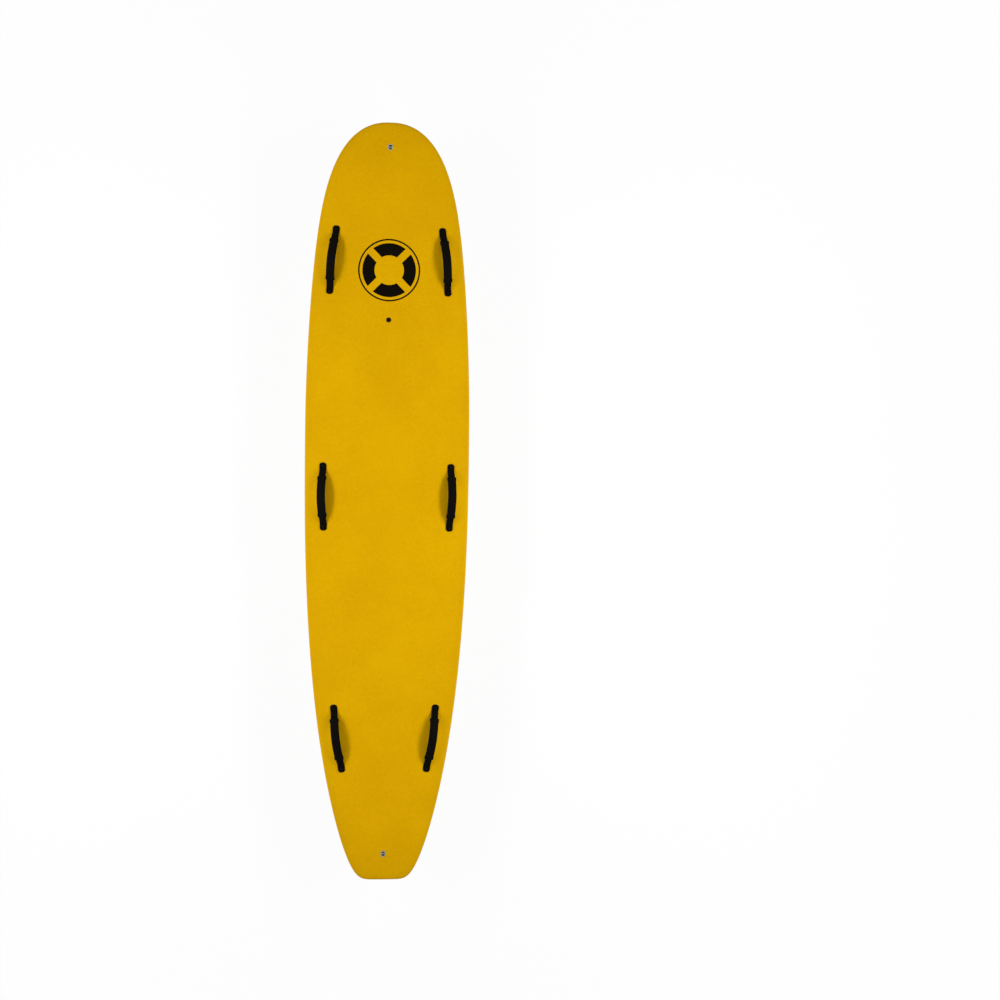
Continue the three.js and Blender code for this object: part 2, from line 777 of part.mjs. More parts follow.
const board = new THREE.Group();
for (const [row, ...handlePlace] of handleRows) {
  board.add(carryHandle(`${row}_left`, -1, ...handlePlace));
  board.add(carryHandle(`${row}_right`, 1, ...handlePlace));
}
board.add(towingPlug("nose", boardLength / 2 - nosePlugSetback));
board.add(towingPlug("tail", tailPlugSetback - boardLength / 2));
board.add(deckVent());
board.add(finAndBox());
board.add(...hullPieces());

export default board;
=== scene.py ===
# %% [markdown]
# # Dressing a soft-top rescue board
#
# A rescue board is a long foam hull that a lifeguard paddles out to a swimmer. Its deck is soft yellow
# foam that wraps round the rails, its bottom is a slick grey sheet, and six padded handles, two towing
# plugs, a vent and one long fin in its box are fixed into it.
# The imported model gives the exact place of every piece. This lesson makes the fine surface of each one
# and its finish, all in metres: Z is up out of the deck, and Y runs to the nose.

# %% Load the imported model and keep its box
import json
import math
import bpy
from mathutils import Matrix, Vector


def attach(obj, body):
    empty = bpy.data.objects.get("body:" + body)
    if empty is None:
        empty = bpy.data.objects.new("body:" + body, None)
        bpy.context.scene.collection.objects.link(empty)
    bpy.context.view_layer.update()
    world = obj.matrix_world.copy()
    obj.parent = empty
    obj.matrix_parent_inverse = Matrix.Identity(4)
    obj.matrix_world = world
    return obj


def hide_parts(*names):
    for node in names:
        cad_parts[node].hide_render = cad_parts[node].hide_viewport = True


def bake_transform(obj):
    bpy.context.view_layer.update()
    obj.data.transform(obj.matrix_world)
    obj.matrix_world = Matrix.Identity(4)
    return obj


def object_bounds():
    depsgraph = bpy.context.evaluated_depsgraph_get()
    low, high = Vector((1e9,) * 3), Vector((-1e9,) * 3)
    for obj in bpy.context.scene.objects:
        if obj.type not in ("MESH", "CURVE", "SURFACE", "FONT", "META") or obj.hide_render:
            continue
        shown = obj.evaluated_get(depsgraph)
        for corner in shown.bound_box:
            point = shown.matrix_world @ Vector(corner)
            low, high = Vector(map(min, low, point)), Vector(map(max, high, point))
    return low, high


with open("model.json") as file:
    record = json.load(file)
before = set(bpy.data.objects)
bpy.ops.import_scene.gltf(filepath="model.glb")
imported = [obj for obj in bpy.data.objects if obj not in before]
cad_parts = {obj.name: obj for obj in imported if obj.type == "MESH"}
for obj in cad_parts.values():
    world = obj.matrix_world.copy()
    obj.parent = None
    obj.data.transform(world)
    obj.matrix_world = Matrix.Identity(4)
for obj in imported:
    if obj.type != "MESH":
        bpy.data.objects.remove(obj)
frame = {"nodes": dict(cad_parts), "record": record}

from types import SimpleNamespace

import bmesh
import bpy
from mathutils import Matrix, Vector

cad_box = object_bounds()
print("packed model, m:", [round(side, 3) for side in cad_box[1] - cad_box[0]])

# %% [markdown]
# ## The hand tools
#
# Every piece is started from a primitive and shaped by operators, as by hand. An operator works on all
# that is selected, so each helper first puts down whatever was held before. Edges are picked by their
# direction, because a script can't point at them with a mouse.

# %% Pick things up, name them, and open their meshes
axis_x, axis_y, axis_z = range(3)
straight_share = 0.999


def put_down_all():
    bpy.ops.object.select_all(action="DESELECT")


def pick_up(piece):
    put_down_all()
    piece.select_set(True)
    bpy.context.view_layer.objects.active = piece


def named(name):
    """Names the object that was just added, with its place in its mesh."""
    piece = bpy.context.object
    piece.name = name
    piece.data.name = name
    bpy.ops.object.transform_apply(location=True, rotation=True, scale=True)
    return piece


def open_mesh(piece, kind="FACE"):
    pick_up(piece)
    bpy.ops.object.mode_set(mode="EDIT")
    bpy.ops.mesh.select_mode(type=kind)


def close_mesh():
    bpy.ops.object.mode_set(mode="OBJECT")


def select_edges_along(piece, axis):
    """In edit mode, selects only the edges that run straight along one axis."""
    bpy.ops.mesh.select_all(action="DESELECT")
    mesh = bmesh.from_edit_mesh(piece.data)
    for edge in mesh.edges:
        run = edge.verts[1].co - edge.verts[0].co
        if abs(run[axis]) > straight_share * run.length:
            edge.select_set(True)
    bmesh.update_edit_mesh(piece.data)

# %% Modifiers, joins, copies and places
def apply_modifier(piece, kind, **settings):
    pick_up(piece)
    modifier = piece.modifiers.new(kind.lower(), kind)
    for setting, value in settings.items():
        setattr(modifier, setting, value)
    bpy.ops.object.modifier_apply(modifier=modifier.name)


def round_edges(piece, width, segments=2, angle=35):
    apply_modifier(piece, "BEVEL", width=width, segments=segments, limit_method="ANGLE",
                   angle_limit=math.radians(angle), harden_normals=False)


def combine(piece, other, operation):
    """Cuts another solid out of a piece, or joins it on, and uses it up."""
    apply_modifier(piece, "BOOLEAN", object=other, operation=operation, solver="EXACT")
    bpy.data.objects.remove(other)


def cut_by(piece, *cutters):
    for cutter in cutters:
        combine(piece, cutter, "DIFFERENCE")


def gathered(pieces, name):
    """Several separate solids as one mesh."""
    pick_up(pieces[0])
    for piece in pieces[1:]:
        piece.select_set(True)
    bpy.ops.object.join()
    return named(name)


def weld(piece, reach=1e-5, outwards=True):
    """Merges points that lie together, and turns every face outwards."""
    open_mesh(piece, "VERT")
    bpy.ops.mesh.select_all(action="SELECT")
    bpy.ops.mesh.remove_doubles(threshold=reach)
    if outwards:
        bpy.ops.mesh.normals_make_consistent(inside=False)
    close_mesh()


def smooth(piece, angle=35):
    pick_up(piece)
    bpy.ops.object.shade_smooth_by_angle(angle=math.radians(angle))
    return piece


def put_at(piece, place):
    """Moves a piece that was made at the origin to its place, which goes into its mesh."""
    pick_up(piece)
    piece.matrix_world = place
    bpy.ops.object.transform_apply(location=True, rotation=True, scale=True)
    return piece


def copy_at(master, name, place):
    pick_up(master)
    bpy.ops.object.duplicate()
    return put_at(named(name), place)

# %% [markdown]
# Screws, cups, housings and round cutters are all stacks of rings. A lathe would spin a profile; here a
# disc is extruded upwards and scaled ring by ring, which also makes ovals. Channels, slots and straps
# start as blocks with four round upright corners.

# %% A round or oval piece, ring by ring
def ring_by_ring(name, rings, sides=48):
    """A closed solid from rings of half width, half length and height, from its foot to its end."""
    put_down_all()
    wide, long, height = rings[0]
    # Turned by half a side, no corner of a cutter falls on the middle line of the mesh that it cuts
    bpy.ops.mesh.primitive_circle_add(vertices=sides, radius=1, fill_type="NGON",
                                      rotation=(0, 0, math.pi / sides))
    piece = named(name)
    open_mesh(piece)
    bpy.ops.mesh.select_all(action="SELECT")
    bpy.ops.transform.resize(value=(wide, long, 1))
    bpy.ops.transform.translate(value=(0, 0, height))
    for next_wide, next_long, next_height in rings[1:]:
        rise = (0, 0, next_height - height)
        bpy.ops.mesh.extrude_region_move(TRANSFORM_OT_translate={"value": rise})
        bpy.ops.transform.resize(value=(next_wide / wide, next_long / long, 1))
        wide, long, height = next_wide, next_long, next_height
    close_mesh()
    weld(piece)
    return piece


def turned(name, profile, sides=48):
    """A round piece from its radii and heights."""
    return ring_by_ring(name, [(radius, radius, height) for radius, height in profile], sides)


def rod(name, radius, low, high, sides=48):
    return turned(name, [(radius, low), (radius, high)], sides)


def lying_across(y, z):
    """The place of an upright rod that is laid across the board."""
    return Matrix.Translation((0, y, z)) @ Matrix.Rotation(math.pi / 2, 4, "Y")


def quarter(start, end, steps=5):
    """Points of a quarter ellipse that leaves start upwards and reaches end flat."""
    (wide, low), (narrow, high) = start, end
    turns = [step / steps * math.pi / 2 for step in range(1, steps + 1)]
    return [(narrow + (wide - narrow) * math.cos(turn), low + (high - low) * math.sin(turn))
            for turn in turns]

# %% A block with round upright corners
corner_segments = 8


def oblong_block(name, width, length, low, high, corner, middle=0.0):
    put_down_all()
    bpy.ops.mesh.primitive_cube_add(size=1, location=(0, middle, (low + high) / 2))
    bpy.context.object.scale = (width, length, high - low)
    piece = named(name)
    open_mesh(piece, "EDGE")
    select_edges_along(piece, axis_z)
    bpy.ops.mesh.bevel(offset=corner, segments=corner_segments, affect="EDGES")
    close_mesh()
    weld(piece)
    return piece

# %% [markdown]
# ## The hull's form
#
# The hull is one formula: an outline that narrows to a round nose and a squarer tail, a rocker that lifts
# both ends, a foil that thins them, and a section with a crowned deck and a tucked rail. The sizes are the
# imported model's own, in metres, so what is made here lies on the same surface, only finer.

# %% The hull's sizes
board_length, board_width, board_thickness = 3.200, 0.702, 0.115
half_length = board_length / 2
flat_length, tuck_width, end_round = 0.560, 0.070, 0.010
skin_thickness = 0.005
rail_band, tip_band, tail_band = 0.0195, 0.006, 0.0085
seam_gap = 0.0003

widest_share, thickest_share = 0.2, 0.05
tip_share, tip_close_power = 0.9995, 20
foil_end_power = 0.65
apex_share, crown_power, tuck_share = 0.42, 2.5, 0.45
# Keeps a share of the width from being divided by nothing at the very tips
least = 1e-9

nose = SimpleNamespace(rocker=0.145, rocker_power=2.6, tip_thickness=0.016, foil_power=2.4,
                       taper_share=0.286, taper_power=1.93, round_power=7.85, close_power=0.44,
                       band=tip_band, band_power=4)
tail = SimpleNamespace(rocker=0.078, rocker_power=2, tip_thickness=0.018, foil_power=2.8,
                       taper_share=0.55, taper_power=2.65, round_power=8.1, close_power=0.161,
                       band=tail_band, band_power=1)

# %% Outline, rocker and foil, at a share from -1 at the tail to 1 at the nose
def towards_end(share, middle=0):
    """The end that a share lies towards, and how much of the way there from a middle it is."""
    end = nose if share > middle else tail
    return end, abs(share - middle) / (1 - middle if end is nose else 1 + middle)


def half_width(share):
    place = share * (tip_share + (1 - tip_share) * abs(share) ** tip_close_power)
    end, away = towards_end(place, widest_share)
    narrowed = 1 - end.taper_share * away ** end.taper_power
    return board_width / 2 * narrowed * max(1 - away ** end.round_power, 0) ** end.close_power


def thickness_at(share):
    end, away = towards_end(share, thickest_share)
    full = max(1 - away ** end.foil_power, 0)
    return end.tip_thickness + (board_thickness - end.tip_thickness) * full ** foil_end_power


def bottom_line(share):
    end, away = towards_end(share)
    rise = max((away * board_length - flat_length) / (board_length - flat_length), 0)
    return end.rocker * rise ** end.rocker_power

# %% Section, deck and bottom
def section_at(y):
    """Half width, lowest height, height of the widest line, and top of the hull at y."""
    share = max(-1, min(1, y / half_length))
    past = (abs(y) - (half_length - end_round)) / end_round
    closing = math.sqrt(1 - min(max(past, 0), 1) ** 2)
    thickness = thickness_at(share)
    widest = bottom_line(share) + apex_share * thickness
    low = widest - apex_share * thickness * closing
    top = widest + (1 - apex_share) * thickness * closing
    return half_width(share), low, widest, top


def deck_height(x, y):
    half, low, widest, top = section_at(y)
    out = min(abs(x) / max(half, least), 1)
    return widest + (top - widest) * (1 - out ** crown_power) ** (1 / crown_power)


def bottom_height(x, y):
    half, low, widest, top = section_at(y)
    tuck = max(min(tuck_width, half * tuck_share), least)
    out = min(max((abs(x) - half + tuck) / tuck, 0), 1)
    return widest - (widest - low) * math.sqrt(1 - out ** 2)


print("deck height over the middle, m:", round(deck_height(0, 0), 4))

# %% [markdown]
# Handles, plugs and the vent stand square to the deck. A place is worked out from the deck itself: its Y
# is the chord between two points of the deck, and its Z is square to that and to the slope across.

# %% A place on the deck
probe_step = 0.010


def deck_place(x, y, toe=0.0, reach=probe_step):
    turn = math.radians(toe)

    def at(aside, ahead):
        there_x = x + aside * math.cos(turn) + ahead * math.sin(turn)
        there_y = y + ahead * math.cos(turn) - aside * math.sin(turn)
        return Vector((there_x, there_y, deck_height(there_x, there_y)))

    fore = at(0, reach)
    aft = at(0, -reach)
    forward = (fore - aft).normalized()
    rightward = (at(probe_step, 0) - at(-probe_step, 0)).normalized()
    up = rightward.cross(forward).normalized()
    place = Matrix((forward.cross(up), forward, up)).transposed().to_4x4()
    place.translation = (fore + aft) / 2
    return place

# %% [markdown]
# ## Camera, floor and light
#
# The photograph looks straight down on the deck, with the board left of the middle of the frame. So the
# camera stands over the board. Its lens is shifted as far as the side views still hold the whole length,
# and a pan does the rest. It is rolled by the little that the board leans. The focal length comes from
# how wide the frame is at the deck.

# %% The camera, straight above the deck
frame_pixels = 1000
board_middle_pixel = 386.8
lens_shift_pixels = 24
frame_width_at_deck = 4.243
camera_height = 5.3
camera_ahead = 0.018
board_lean = 0.60

camera_data = bpy.data.cameras.new("camera")
camera_data.lens = camera_data.sensor_width * camera_height / frame_width_at_deck
camera_data.shift_x = lens_shift_pixels / frame_pixels
pixels_per_slope = frame_pixels * camera_data.lens / camera_data.sensor_width
pan = math.atan((frame_pixels / 2 - lens_shift_pixels - board_middle_pixel) / pixels_per_slope)
camera = bpy.data.objects.new("camera", camera_data)
bpy.context.scene.collection.objects.link(camera)
aimed = Matrix.Rotation(-pan, 4, "Y") @ Matrix.Rotation(math.radians(board_lean), 4, "Z")
camera.matrix_world = Matrix.Translation((0, camera_ahead, camera_height + board_thickness)) @ aimed
bpy.context.scene.camera = camera
print("lens, mm:", round(camera_data.lens, 1), " pan, degrees:", round(math.degrees(pan), 2))

# %% [markdown]
# The shadows in the photograph fall inwards from every handle and to both sides of the fin, so there are
# two soft lamps, one off each rail, a little above the board, and a pale surrounding fills the rest.

# %% Two soft lamps
lamp_reach, lamp_height = 2.1, 1.75
lamp_width, lamp_length = 0.55, 3.6
lamp_power = 50
left_and_right = {"left": -1, "right": 1}

for label, side in left_and_right.items():
    lamp_data = bpy.data.lights.new("lamp_" + label, "AREA")
    lamp_data.shape = "RECTANGLE"
    lamp_data.size = lamp_width
    lamp_data.size_y = lamp_length
    lamp_data.energy = lamp_power
    lamp = bpy.data.objects.new("lamp_" + label, lamp_data)
    bpy.context.scene.collection.objects.link(lamp)
    aim = math.atan2(lamp_reach, lamp_height)
    at = Matrix.Translation((side * lamp_reach, 0, lamp_height + board_thickness))
    lamp.matrix_world = at @ Matrix.Rotation(side * aim, 4, "Y")
print("lamps, m off the middle:", lamp_reach)

# %% [markdown]
# Every surface is a tree of shader nodes. The helpers below add a node, link or set its sockets, and
# reckon with numbers, so that a finish reads as a few sentences.

# %% Helpers for node trees
def feed(tree, socket, value):
    """Links a socket to another one, or sets its own value."""
    if isinstance(value, bpy.types.NodeSocket):
        tree.links.new(value, socket)
    else:
        socket.default_value = value


def add_node(tree, kind, inputs=None, **settings):
    made = tree.nodes.new("ShaderNode" + kind)
    for setting, value in settings.items():
        setattr(made, setting, value)
    for socket, value in (inputs or {}).items():
        feed(tree, made.inputs[socket], value)
    return made


def reckon(tree, operation, *values):
    made = add_node(tree, "Math", operation=operation)
    for socket, value in zip(made.inputs, values):
        feed(tree, socket, value)
    return made.outputs[0]


def ramp(tree, value, low=0, high=1, to_low=0.0, to_high=1.0):
    inputs = {"Value": value, "From Min": low, "From Max": high, "To Min": to_low, "To Max": to_high}
    return add_node(tree, "MapRange", inputs).outputs["Result"]


def object_place(tree):
    """Where a point of the surface lies, in metres."""
    return add_node(tree, "TexCoord").outputs["Object"]


def split(tree, vector):
    return add_node(tree, "SeparateXYZ", {0: vector}).outputs


def seen_rays(tree):
    """1 for rays that come from the camera, off something glossy or through something clear."""
    path = add_node(tree, "LightPath").outputs
    either = reckon(tree, "MAXIMUM", path["Is Camera Ray"], path["Is Glossy Ray"])
    return reckon(tree, "MAXIMUM", either, path["Is Transmission Ray"])

# %% The surrounding: white to the eye, softer as light
fill_strength = 0.34
white = (1, 1, 1, 1)

world = bpy.data.worlds.new("surrounding")
bpy.context.scene.world = world
world.use_nodes = True
tree = world.node_tree
background = tree.nodes["Background"].inputs
background["Color"].default_value = white
feed(tree, background["Strength"],
     reckon(tree, "MULTIPLY_ADD", seen_rays(tree), 1 - fill_strength, fill_strength))
bpy.context.scene.view_settings.view_transform = "Standard"

# %% The floor, just under the fin, with the board's faint shadow
floor_size, floor_drop = 60, 0.001
table_glow, near_glow = 0.6, 0.9
glow_starts, glow_is_full = 0.8, 4

put_down_all()
bpy.ops.mesh.primitive_plane_add(size=floor_size, location=(0, 0, cad_box[0].z - floor_drop))
floor = named("floor")
floor_paint = bpy.data.materials.new("pale_floor")
floor_paint.use_nodes = True
tree = floor_paint.node_tree
tree.nodes.clear()
matt = add_node(tree, "BsdfDiffuse", {"Color": white})
glow = add_node(tree, "Emission", {"Color": white})
away = add_node(tree, "VectorMath", {0: object_place(tree)}, operation="LENGTH")
glow_there = ramp(tree, away.outputs["Value"], low=glow_starts, high=glow_is_full, to_low=near_glow)
glow_more = reckon(tree, "SUBTRACT", glow_there, table_glow)
glow_share = reckon(tree, "MULTIPLY_ADD", seen_rays(tree), glow_more, table_glow)
upper_side = add_node(tree, "MixShader", {0: glow_share, 1: matt.outputs[0], 2: glow.outputs[0]})
under_side = add_node(tree, "BsdfTransparent")
from_below = add_node(tree, "NewGeometry").outputs["Backfacing"]
both_sides = add_node(tree, "MixShader", {0: from_below, 1: upper_side.outputs[0], 2: under_side.outputs[0]})
add_node(tree, "OutputMaterial", {"Surface": both_sides.outputs[0]})
floor.data.materials.append(floor_paint)
print("floor, m under the board's origin:", round(floor_drop - cad_box[0].z, 4))

# %% [markdown]
# ## Effects that several finishes share
#
# Real surfaces are never one flat colour: foam has a pebbled skin, plastic is moulded with a fine grain,
# and everything outdoors gets uneven in tone and scuffed. Each effect is one node group, built once and
# placed in each material with its own values. They read Object coordinates, so sizes are in metres.

# %% How a shared effect is started, and the nodes that most of them use
def new_effect(name, numbers, outputs):
    effect = bpy.data.node_groups.new(name, "ShaderNodeTree")
    for socket_name, value in numbers.items():
        socket = effect.interface.new_socket(socket_name, in_out="INPUT", socket_type="NodeSocketFloat")
        socket.default_value = value
    for socket_name in outputs:
        effect.interface.new_socket(socket_name, in_out="OUTPUT", socket_type="NodeSocketFloat")
    given = effect.nodes.new("NodeGroupInput").outputs
    results = effect.nodes.new("NodeGroupOutput").inputs
    print("effect:", name)
    return effect, given, results


def noise(tree, place, scale, detail=2.0, roughness=0.5):
    inputs = {"Vector": place, "Scale": scale, "Detail": detail, "Roughness": roughness}
    return add_node(tree, "TexNoise", inputs).outputs["Fac"]


def stretched(tree, place, stretch):
    return add_node(tree, "VectorMath", {0: place, 1: stretch}, operation="MULTIPLY").outputs[0]


def weighed(tree, first, first_share, second):
    """A share of the first value, and the rest of the second."""
    rest = reckon(tree, "MULTIPLY", second, 1 - first_share)
    return reckon(tree, "MULTIPLY_ADD", first, first_share, rest)

# %% Pebbled foam skin: round cells with fine noise on them
fine_per_cell, fine_height_share = 0.5, 0.5

tree, given, results = new_effect("pebbled_skin", {"Cells per metre": 600}, ["Height", "Tone"])
place = object_place(tree)
cells = add_node(tree, "TexVoronoi", {"Vector": place, "Scale": given[0], "Randomness": 0.9})
mound = reckon(tree, "SUBTRACT", 1.0, cells.outputs["Distance"])
fine_scale = reckon(tree, "MULTIPLY", given[0], fine_per_cell)
fine = noise(tree, place, fine_scale, detail=3.0, roughness=0.6)
feed(tree, results["Height"], reckon(tree, "MULTIPLY_ADD", fine, fine_height_share, mound))
feed(tree, results["Tone"], fine)

# %% Uneven tone: broad soft patches with a finer mottle
mottles_per_patch, mottle_share = 14, 0.4

tree, given, results = new_effect("uneven_tone", {"Patches per metre": 4}, ["Tone"])
place = object_place(tree)
broad = noise(tree, place, given[0], detail=4.0, roughness=0.55)
mottle_scale = reckon(tree, "MULTIPLY", given[0], mottles_per_patch)
mottle = noise(tree, place, mottle_scale, detail=3.0, roughness=0.6)
feed(tree, results["Tone"], ramp(tree, weighed(tree, mottle, mottle_share, broad), low=0.32, high=0.68))

# %% Scuffs: thin marks that run mostly along one direction
scuff_thinness = (9, 1, 9)
worn_patches_per_mark = 0.12

tree, given, results = new_effect("scuffs", {"Marks per metre": 30, "Turn": 0.0}, ["Scuff"])
place = object_place(tree)
turning = add_node(tree, "VectorRotate", {"Vector": place, "Angle": given[1]}, rotation_type="Z_AXIS")
along_marks = stretched(tree, turning.outputs[0], scuff_thinness)
lines = noise(tree, along_marks, given[0], detail=3.0, roughness=0.6)
worn = noise(tree, place, reckon(tree, "MULTIPLY", given[0], worn_patches_per_mark), detail=1.0)
sharp = ramp(tree, lines, low=0.60, high=0.70)
feed(tree, results["Scuff"], reckon(tree, "MULTIPLY", sharp, ramp(tree, worn, low=0.45, high=0.65)))

# %% Moulded grain: the fine matt texture of an injection mould
tree, given, results = new_effect("moulded_grain", {"Grains per metre": 2500}, ["Height"])
feed(tree, results["Height"], noise(tree, object_place(tree), given[0], roughness=0.7))

# %% Woven thread: over and under along the piece's own UV map, which is in metres
wefts_per_warp = 0.6
tones_per_thread = 0.35

tree, given, results = new_effect("woven_thread", {"Threads per metre": 700}, ["Height", "Tone"])
unrolled = add_node(tree, "UVMap").outputs["UV"]
parts = split(tree, unrolled)
warp_rate = reckon(tree, "MULTIPLY", given[0], math.pi)
warp = reckon(tree, "SINE", reckon(tree, "MULTIPLY", parts["X"], warp_rate))
weft_rate = reckon(tree, "MULTIPLY", warp_rate, wefts_per_warp)
weft = reckon(tree, "SINE", reckon(tree, "MULTIPLY", parts["Y"], weft_rate))
crossing = reckon(tree, "MULTIPLY", warp, weft)
# A crossing goes from -1 to 1, and a height from 0 to 1
feed(tree, results["Height"], reckon(tree, "MULTIPLY_ADD", crossing, 0.5, 0.5))
thread_place = add_node(tree, "VectorMath", {0: unrolled, "Scale": given[0]}, operation="SCALE")
feed(tree, results["Tone"], noise(tree, thread_place.outputs[0], tones_per_thread))

# %% A material, an effect placed in it, and what its shader is fed
finishes = {}
# A Mix node has sockets for every kind of value, and those for colours come after the ones for numbers
mix_factor, mix_first, mix_second, mix_result = 0, 6, 7, 2


def linear(part):
    """One part of a colour as the photograph shows it, from 0 to 255, as a shader reckons with it."""
    part = part / 255
    return part / 12.92 if part <= 0.04045 else ((part + 0.055) / 1.055) ** 2.4


def new_finish(name, **plain):
    """A material whose unchanging values go straight to its shader's own sockets."""
    finish = bpy.data.materials.new(name + "_finish")
    finishes[name] = finish
    finish.use_nodes = True
    shader = finish.node_tree.nodes["Principled BSDF"].inputs
    for socket, value in plain.items():
        shader[socket.replace("_", " ")].default_value = value
    print("finish:", name)
    return finish.node_tree, shader


def effect_in(tree, effect, **values):
    """Places a shared effect in a material, with the material's own values."""
    placed = tree.nodes.new("ShaderNodeGroup")
    placed.node_tree = bpy.data.node_groups[effect]
    for socket, value in values.items():
        feed(tree, placed.inputs[socket.replace("_", " ").capitalize()], value)
    return placed.outputs


def tone_and_scuff(tree, patches, marks, turn):
    """The uneven tone and the scuffs of a finish, with how many of each there are per metre."""
    tone = effect_in(tree, "uneven_tone", patches_per_metre=patches)["Tone"]
    scuff = effect_in(tree, "scuffs", marks_per_metre=marks, turn=turn)["Scuff"]
    return tone, scuff


def between(tree, factor, first, second):
    """A colour that goes from the first to the second, each a socket or as in the photograph."""
    made = add_node(tree, "Mix", {mix_factor: factor}, data_type="RGBA")
    for socket, colour in ((mix_first, first), (mix_second, second)):
        if isinstance(colour, tuple):
            colour = (*map(linear, colour), 1.0)
        feed(tree, made.inputs[socket], colour)
    return made.outputs[mix_result]


def feed_shader(tree, shader, colour, rough, height, depth, strength):
    """Feeds a shader its colour and roughness, and its grain as a bump of a depth in metres."""
    feed(tree, shader["Base Color"], colour)
    feed(tree, shader["Roughness"], rough)
    bumped = add_node(tree, "Bump", {"Strength": strength, "Distance": depth, "Height": height})
    feed(tree, shader["Normal"], bumped.outputs["Normal"])

# %% [markdown]
# ## The finishes
#
# The deck is cross-linked foam with a fine pebbled skin: matt and a warm yellow, with painted shade in the
# hollows of the grain and random patches of tone. A plain black life ring is printed on it ahead of the
# vent.
# The print is a mask: a ring with four bands left out on the diagonals, and a thin rope line round it.

# %% A printed life ring, as a mask over the deck's X and Y
ring_middle = 0.985
ring_outer, ring_inner = 0.113, 0.062
rope_outer, rope_inner = 0.131, 0.1245
band_half = 0.0155


def inside_of(tree, value, low, high):
    return reckon(tree, "MULTIPLY", reckon(tree, "GREATER_THAN", value, low),
                  reckon(tree, "LESS_THAN", value, high))


def distance_of(tree, x, y):
    squares = [reckon(tree, "POWER", part, 2) for part in (x, y)]
    return reckon(tree, "SQRT", reckon(tree, "ADD", *squares))


def life_ring_mask(tree):
    parts = split(tree, object_place(tree))
    x = parts["X"]
    y = reckon(tree, "SUBTRACT", parts["Y"], ring_middle)
    distance = distance_of(tree, x, y)
    diagonals = [reckon(tree, "ABSOLUTE", reckon(tree, kind, x, y)) for kind in ("ADD", "SUBTRACT")]
    nearest = reckon(tree, "MINIMUM", *diagonals)
    off_bands = reckon(tree, "GREATER_THAN", nearest, band_half * math.sqrt(2))
    above = reckon(tree, "GREATER_THAN", parts["Z"], board_thickness / 2)
    ring = reckon(tree, "MULTIPLY", inside_of(tree, distance, ring_inner, ring_outer), off_bands)
    rope = inside_of(tree, distance, rope_inner, rope_outer)
    return reckon(tree, "MULTIPLY", reckon(tree, "MAXIMUM", ring, rope), above)

# %% Deck foam
deck_yellow, deck_shade = (229, 176, 0), (212, 158, 0)
print_black = (14, 10, 6)
foam_grain_share = 0.75

tree, shader = new_finish("deck_foam", Specular_IOR_Level=0.02)
pebble = effect_in(tree, "pebbled_skin", cells_per_metre=420)
tone = effect_in(tree, "uneven_tone", patches_per_metre=5)["Tone"]
# Painted shade: the fine noise that raises the grain also darkens the foam where the grain sinks
foam_tone_and_grain_shade = weighed(tree, pebble["Tone"], foam_grain_share, tone)
foam_colour = between(tree, ramp(tree, foam_tone_and_grain_shade, low=0.3, high=0.7), deck_shade, deck_yellow)
colour = between(tree, life_ring_mask(tree), foam_colour, print_black)
rough = ramp(tree, foam_tone_and_grain_shade, low=0.2, high=0.8, to_low=0.62, to_high=0.8)
feed_shader(tree, shader, colour, rough, pebble["Height"], depth=0.0003, strength=0.5)

# %% [markdown]
# The bottom is a slick polyethylene sheet: pale grey, with a broad soft gloss, faint waviness and long
# fine scuffs from sand. A column of plain red chevrons, printed as a mask like the ring, points to the
# nose. A second mask darkens a thin band along the joint round the fin box, on the sheet and the box.

# %% The chevrons of the bottom
chevron_half_width = 0.0965
chevron_rear, chevron_front = -0.540, 0.652
chevron_count = 8
chevron_bar_share = 0.5
chevron_slope = 0.6


def chevron_mask(tree):
    parts = split(tree, object_place(tree))
    sweep = chevron_slope * chevron_half_width
    pitch = (chevron_front - chevron_rear - sweep) / (chevron_count - chevron_bar_share)
    out = reckon(tree, "ABSOLUTE", parts["X"])
    along = reckon(tree, "MULTIPLY_ADD", out, chevron_slope, parts["Y"])
    place = reckon(tree, "DIVIDE", reckon(tree, "SUBTRACT", along, chevron_rear + sweep), pitch)
    bar = reckon(tree, "LESS_THAN", reckon(tree, "FRACT", place), chevron_bar_share)
    in_column = reckon(tree, "LESS_THAN", out, chevron_half_width)
    in_reach = inside_of(tree, place, 0, chevron_count)
    return reckon(tree, "MULTIPLY", bar, reckon(tree, "MULTIPLY", in_column, in_reach))

# %% A darker band along the joint round the fin box
box_setback, box_length, box_width, box_corner = 0.187, 0.282, 0.026, 0.005
box_middle = box_setback + box_length / 2 - half_length
joint_reach = 0.0018
joint_dark_colour = (150, 146, 139)


def darkened_joint(tree, colour):
    """Darkens a colour on the joint, and less and less beside it."""
    parts = split(tree, object_place(tree))
    past_corners = []
    for part, middle, length in (("X", 0, box_width), ("Y", box_middle, box_length)):
        away = reckon(tree, "ABSOLUTE", reckon(tree, "SUBTRACT", parts[part], middle))
        past_corner = reckon(tree, "SUBTRACT", away, length / 2 - box_corner)
        past_corners.append(reckon(tree, "MAXIMUM", past_corner, 0))
    off_joint = reckon(tree, "SUBTRACT", distance_of(tree, *past_corners), box_corner)
    joint_darkening = ramp(tree, reckon(tree, "ABSOLUTE", off_joint), low=joint_reach, high=joint_reach / 2)
    return between(tree, joint_darkening, colour, joint_dark_colour)

# %% The slick bottom sheet
sheet_grey, sheet_shade = (216, 217, 212), (206, 207, 201)
chevron_red = (184, 0, 24)
sheet_scuff_share = 0.25
scuff_depth_share = -0.2


def scuffed_roughness(tree, tone, rough, scuff, added):
    """Roughness that goes with the tone from one value to another, and is higher on scuffs."""
    return reckon(tree, "MULTIPLY_ADD", scuff, added, ramp(tree, tone, to_low=rough[0], to_high=rough[1]))


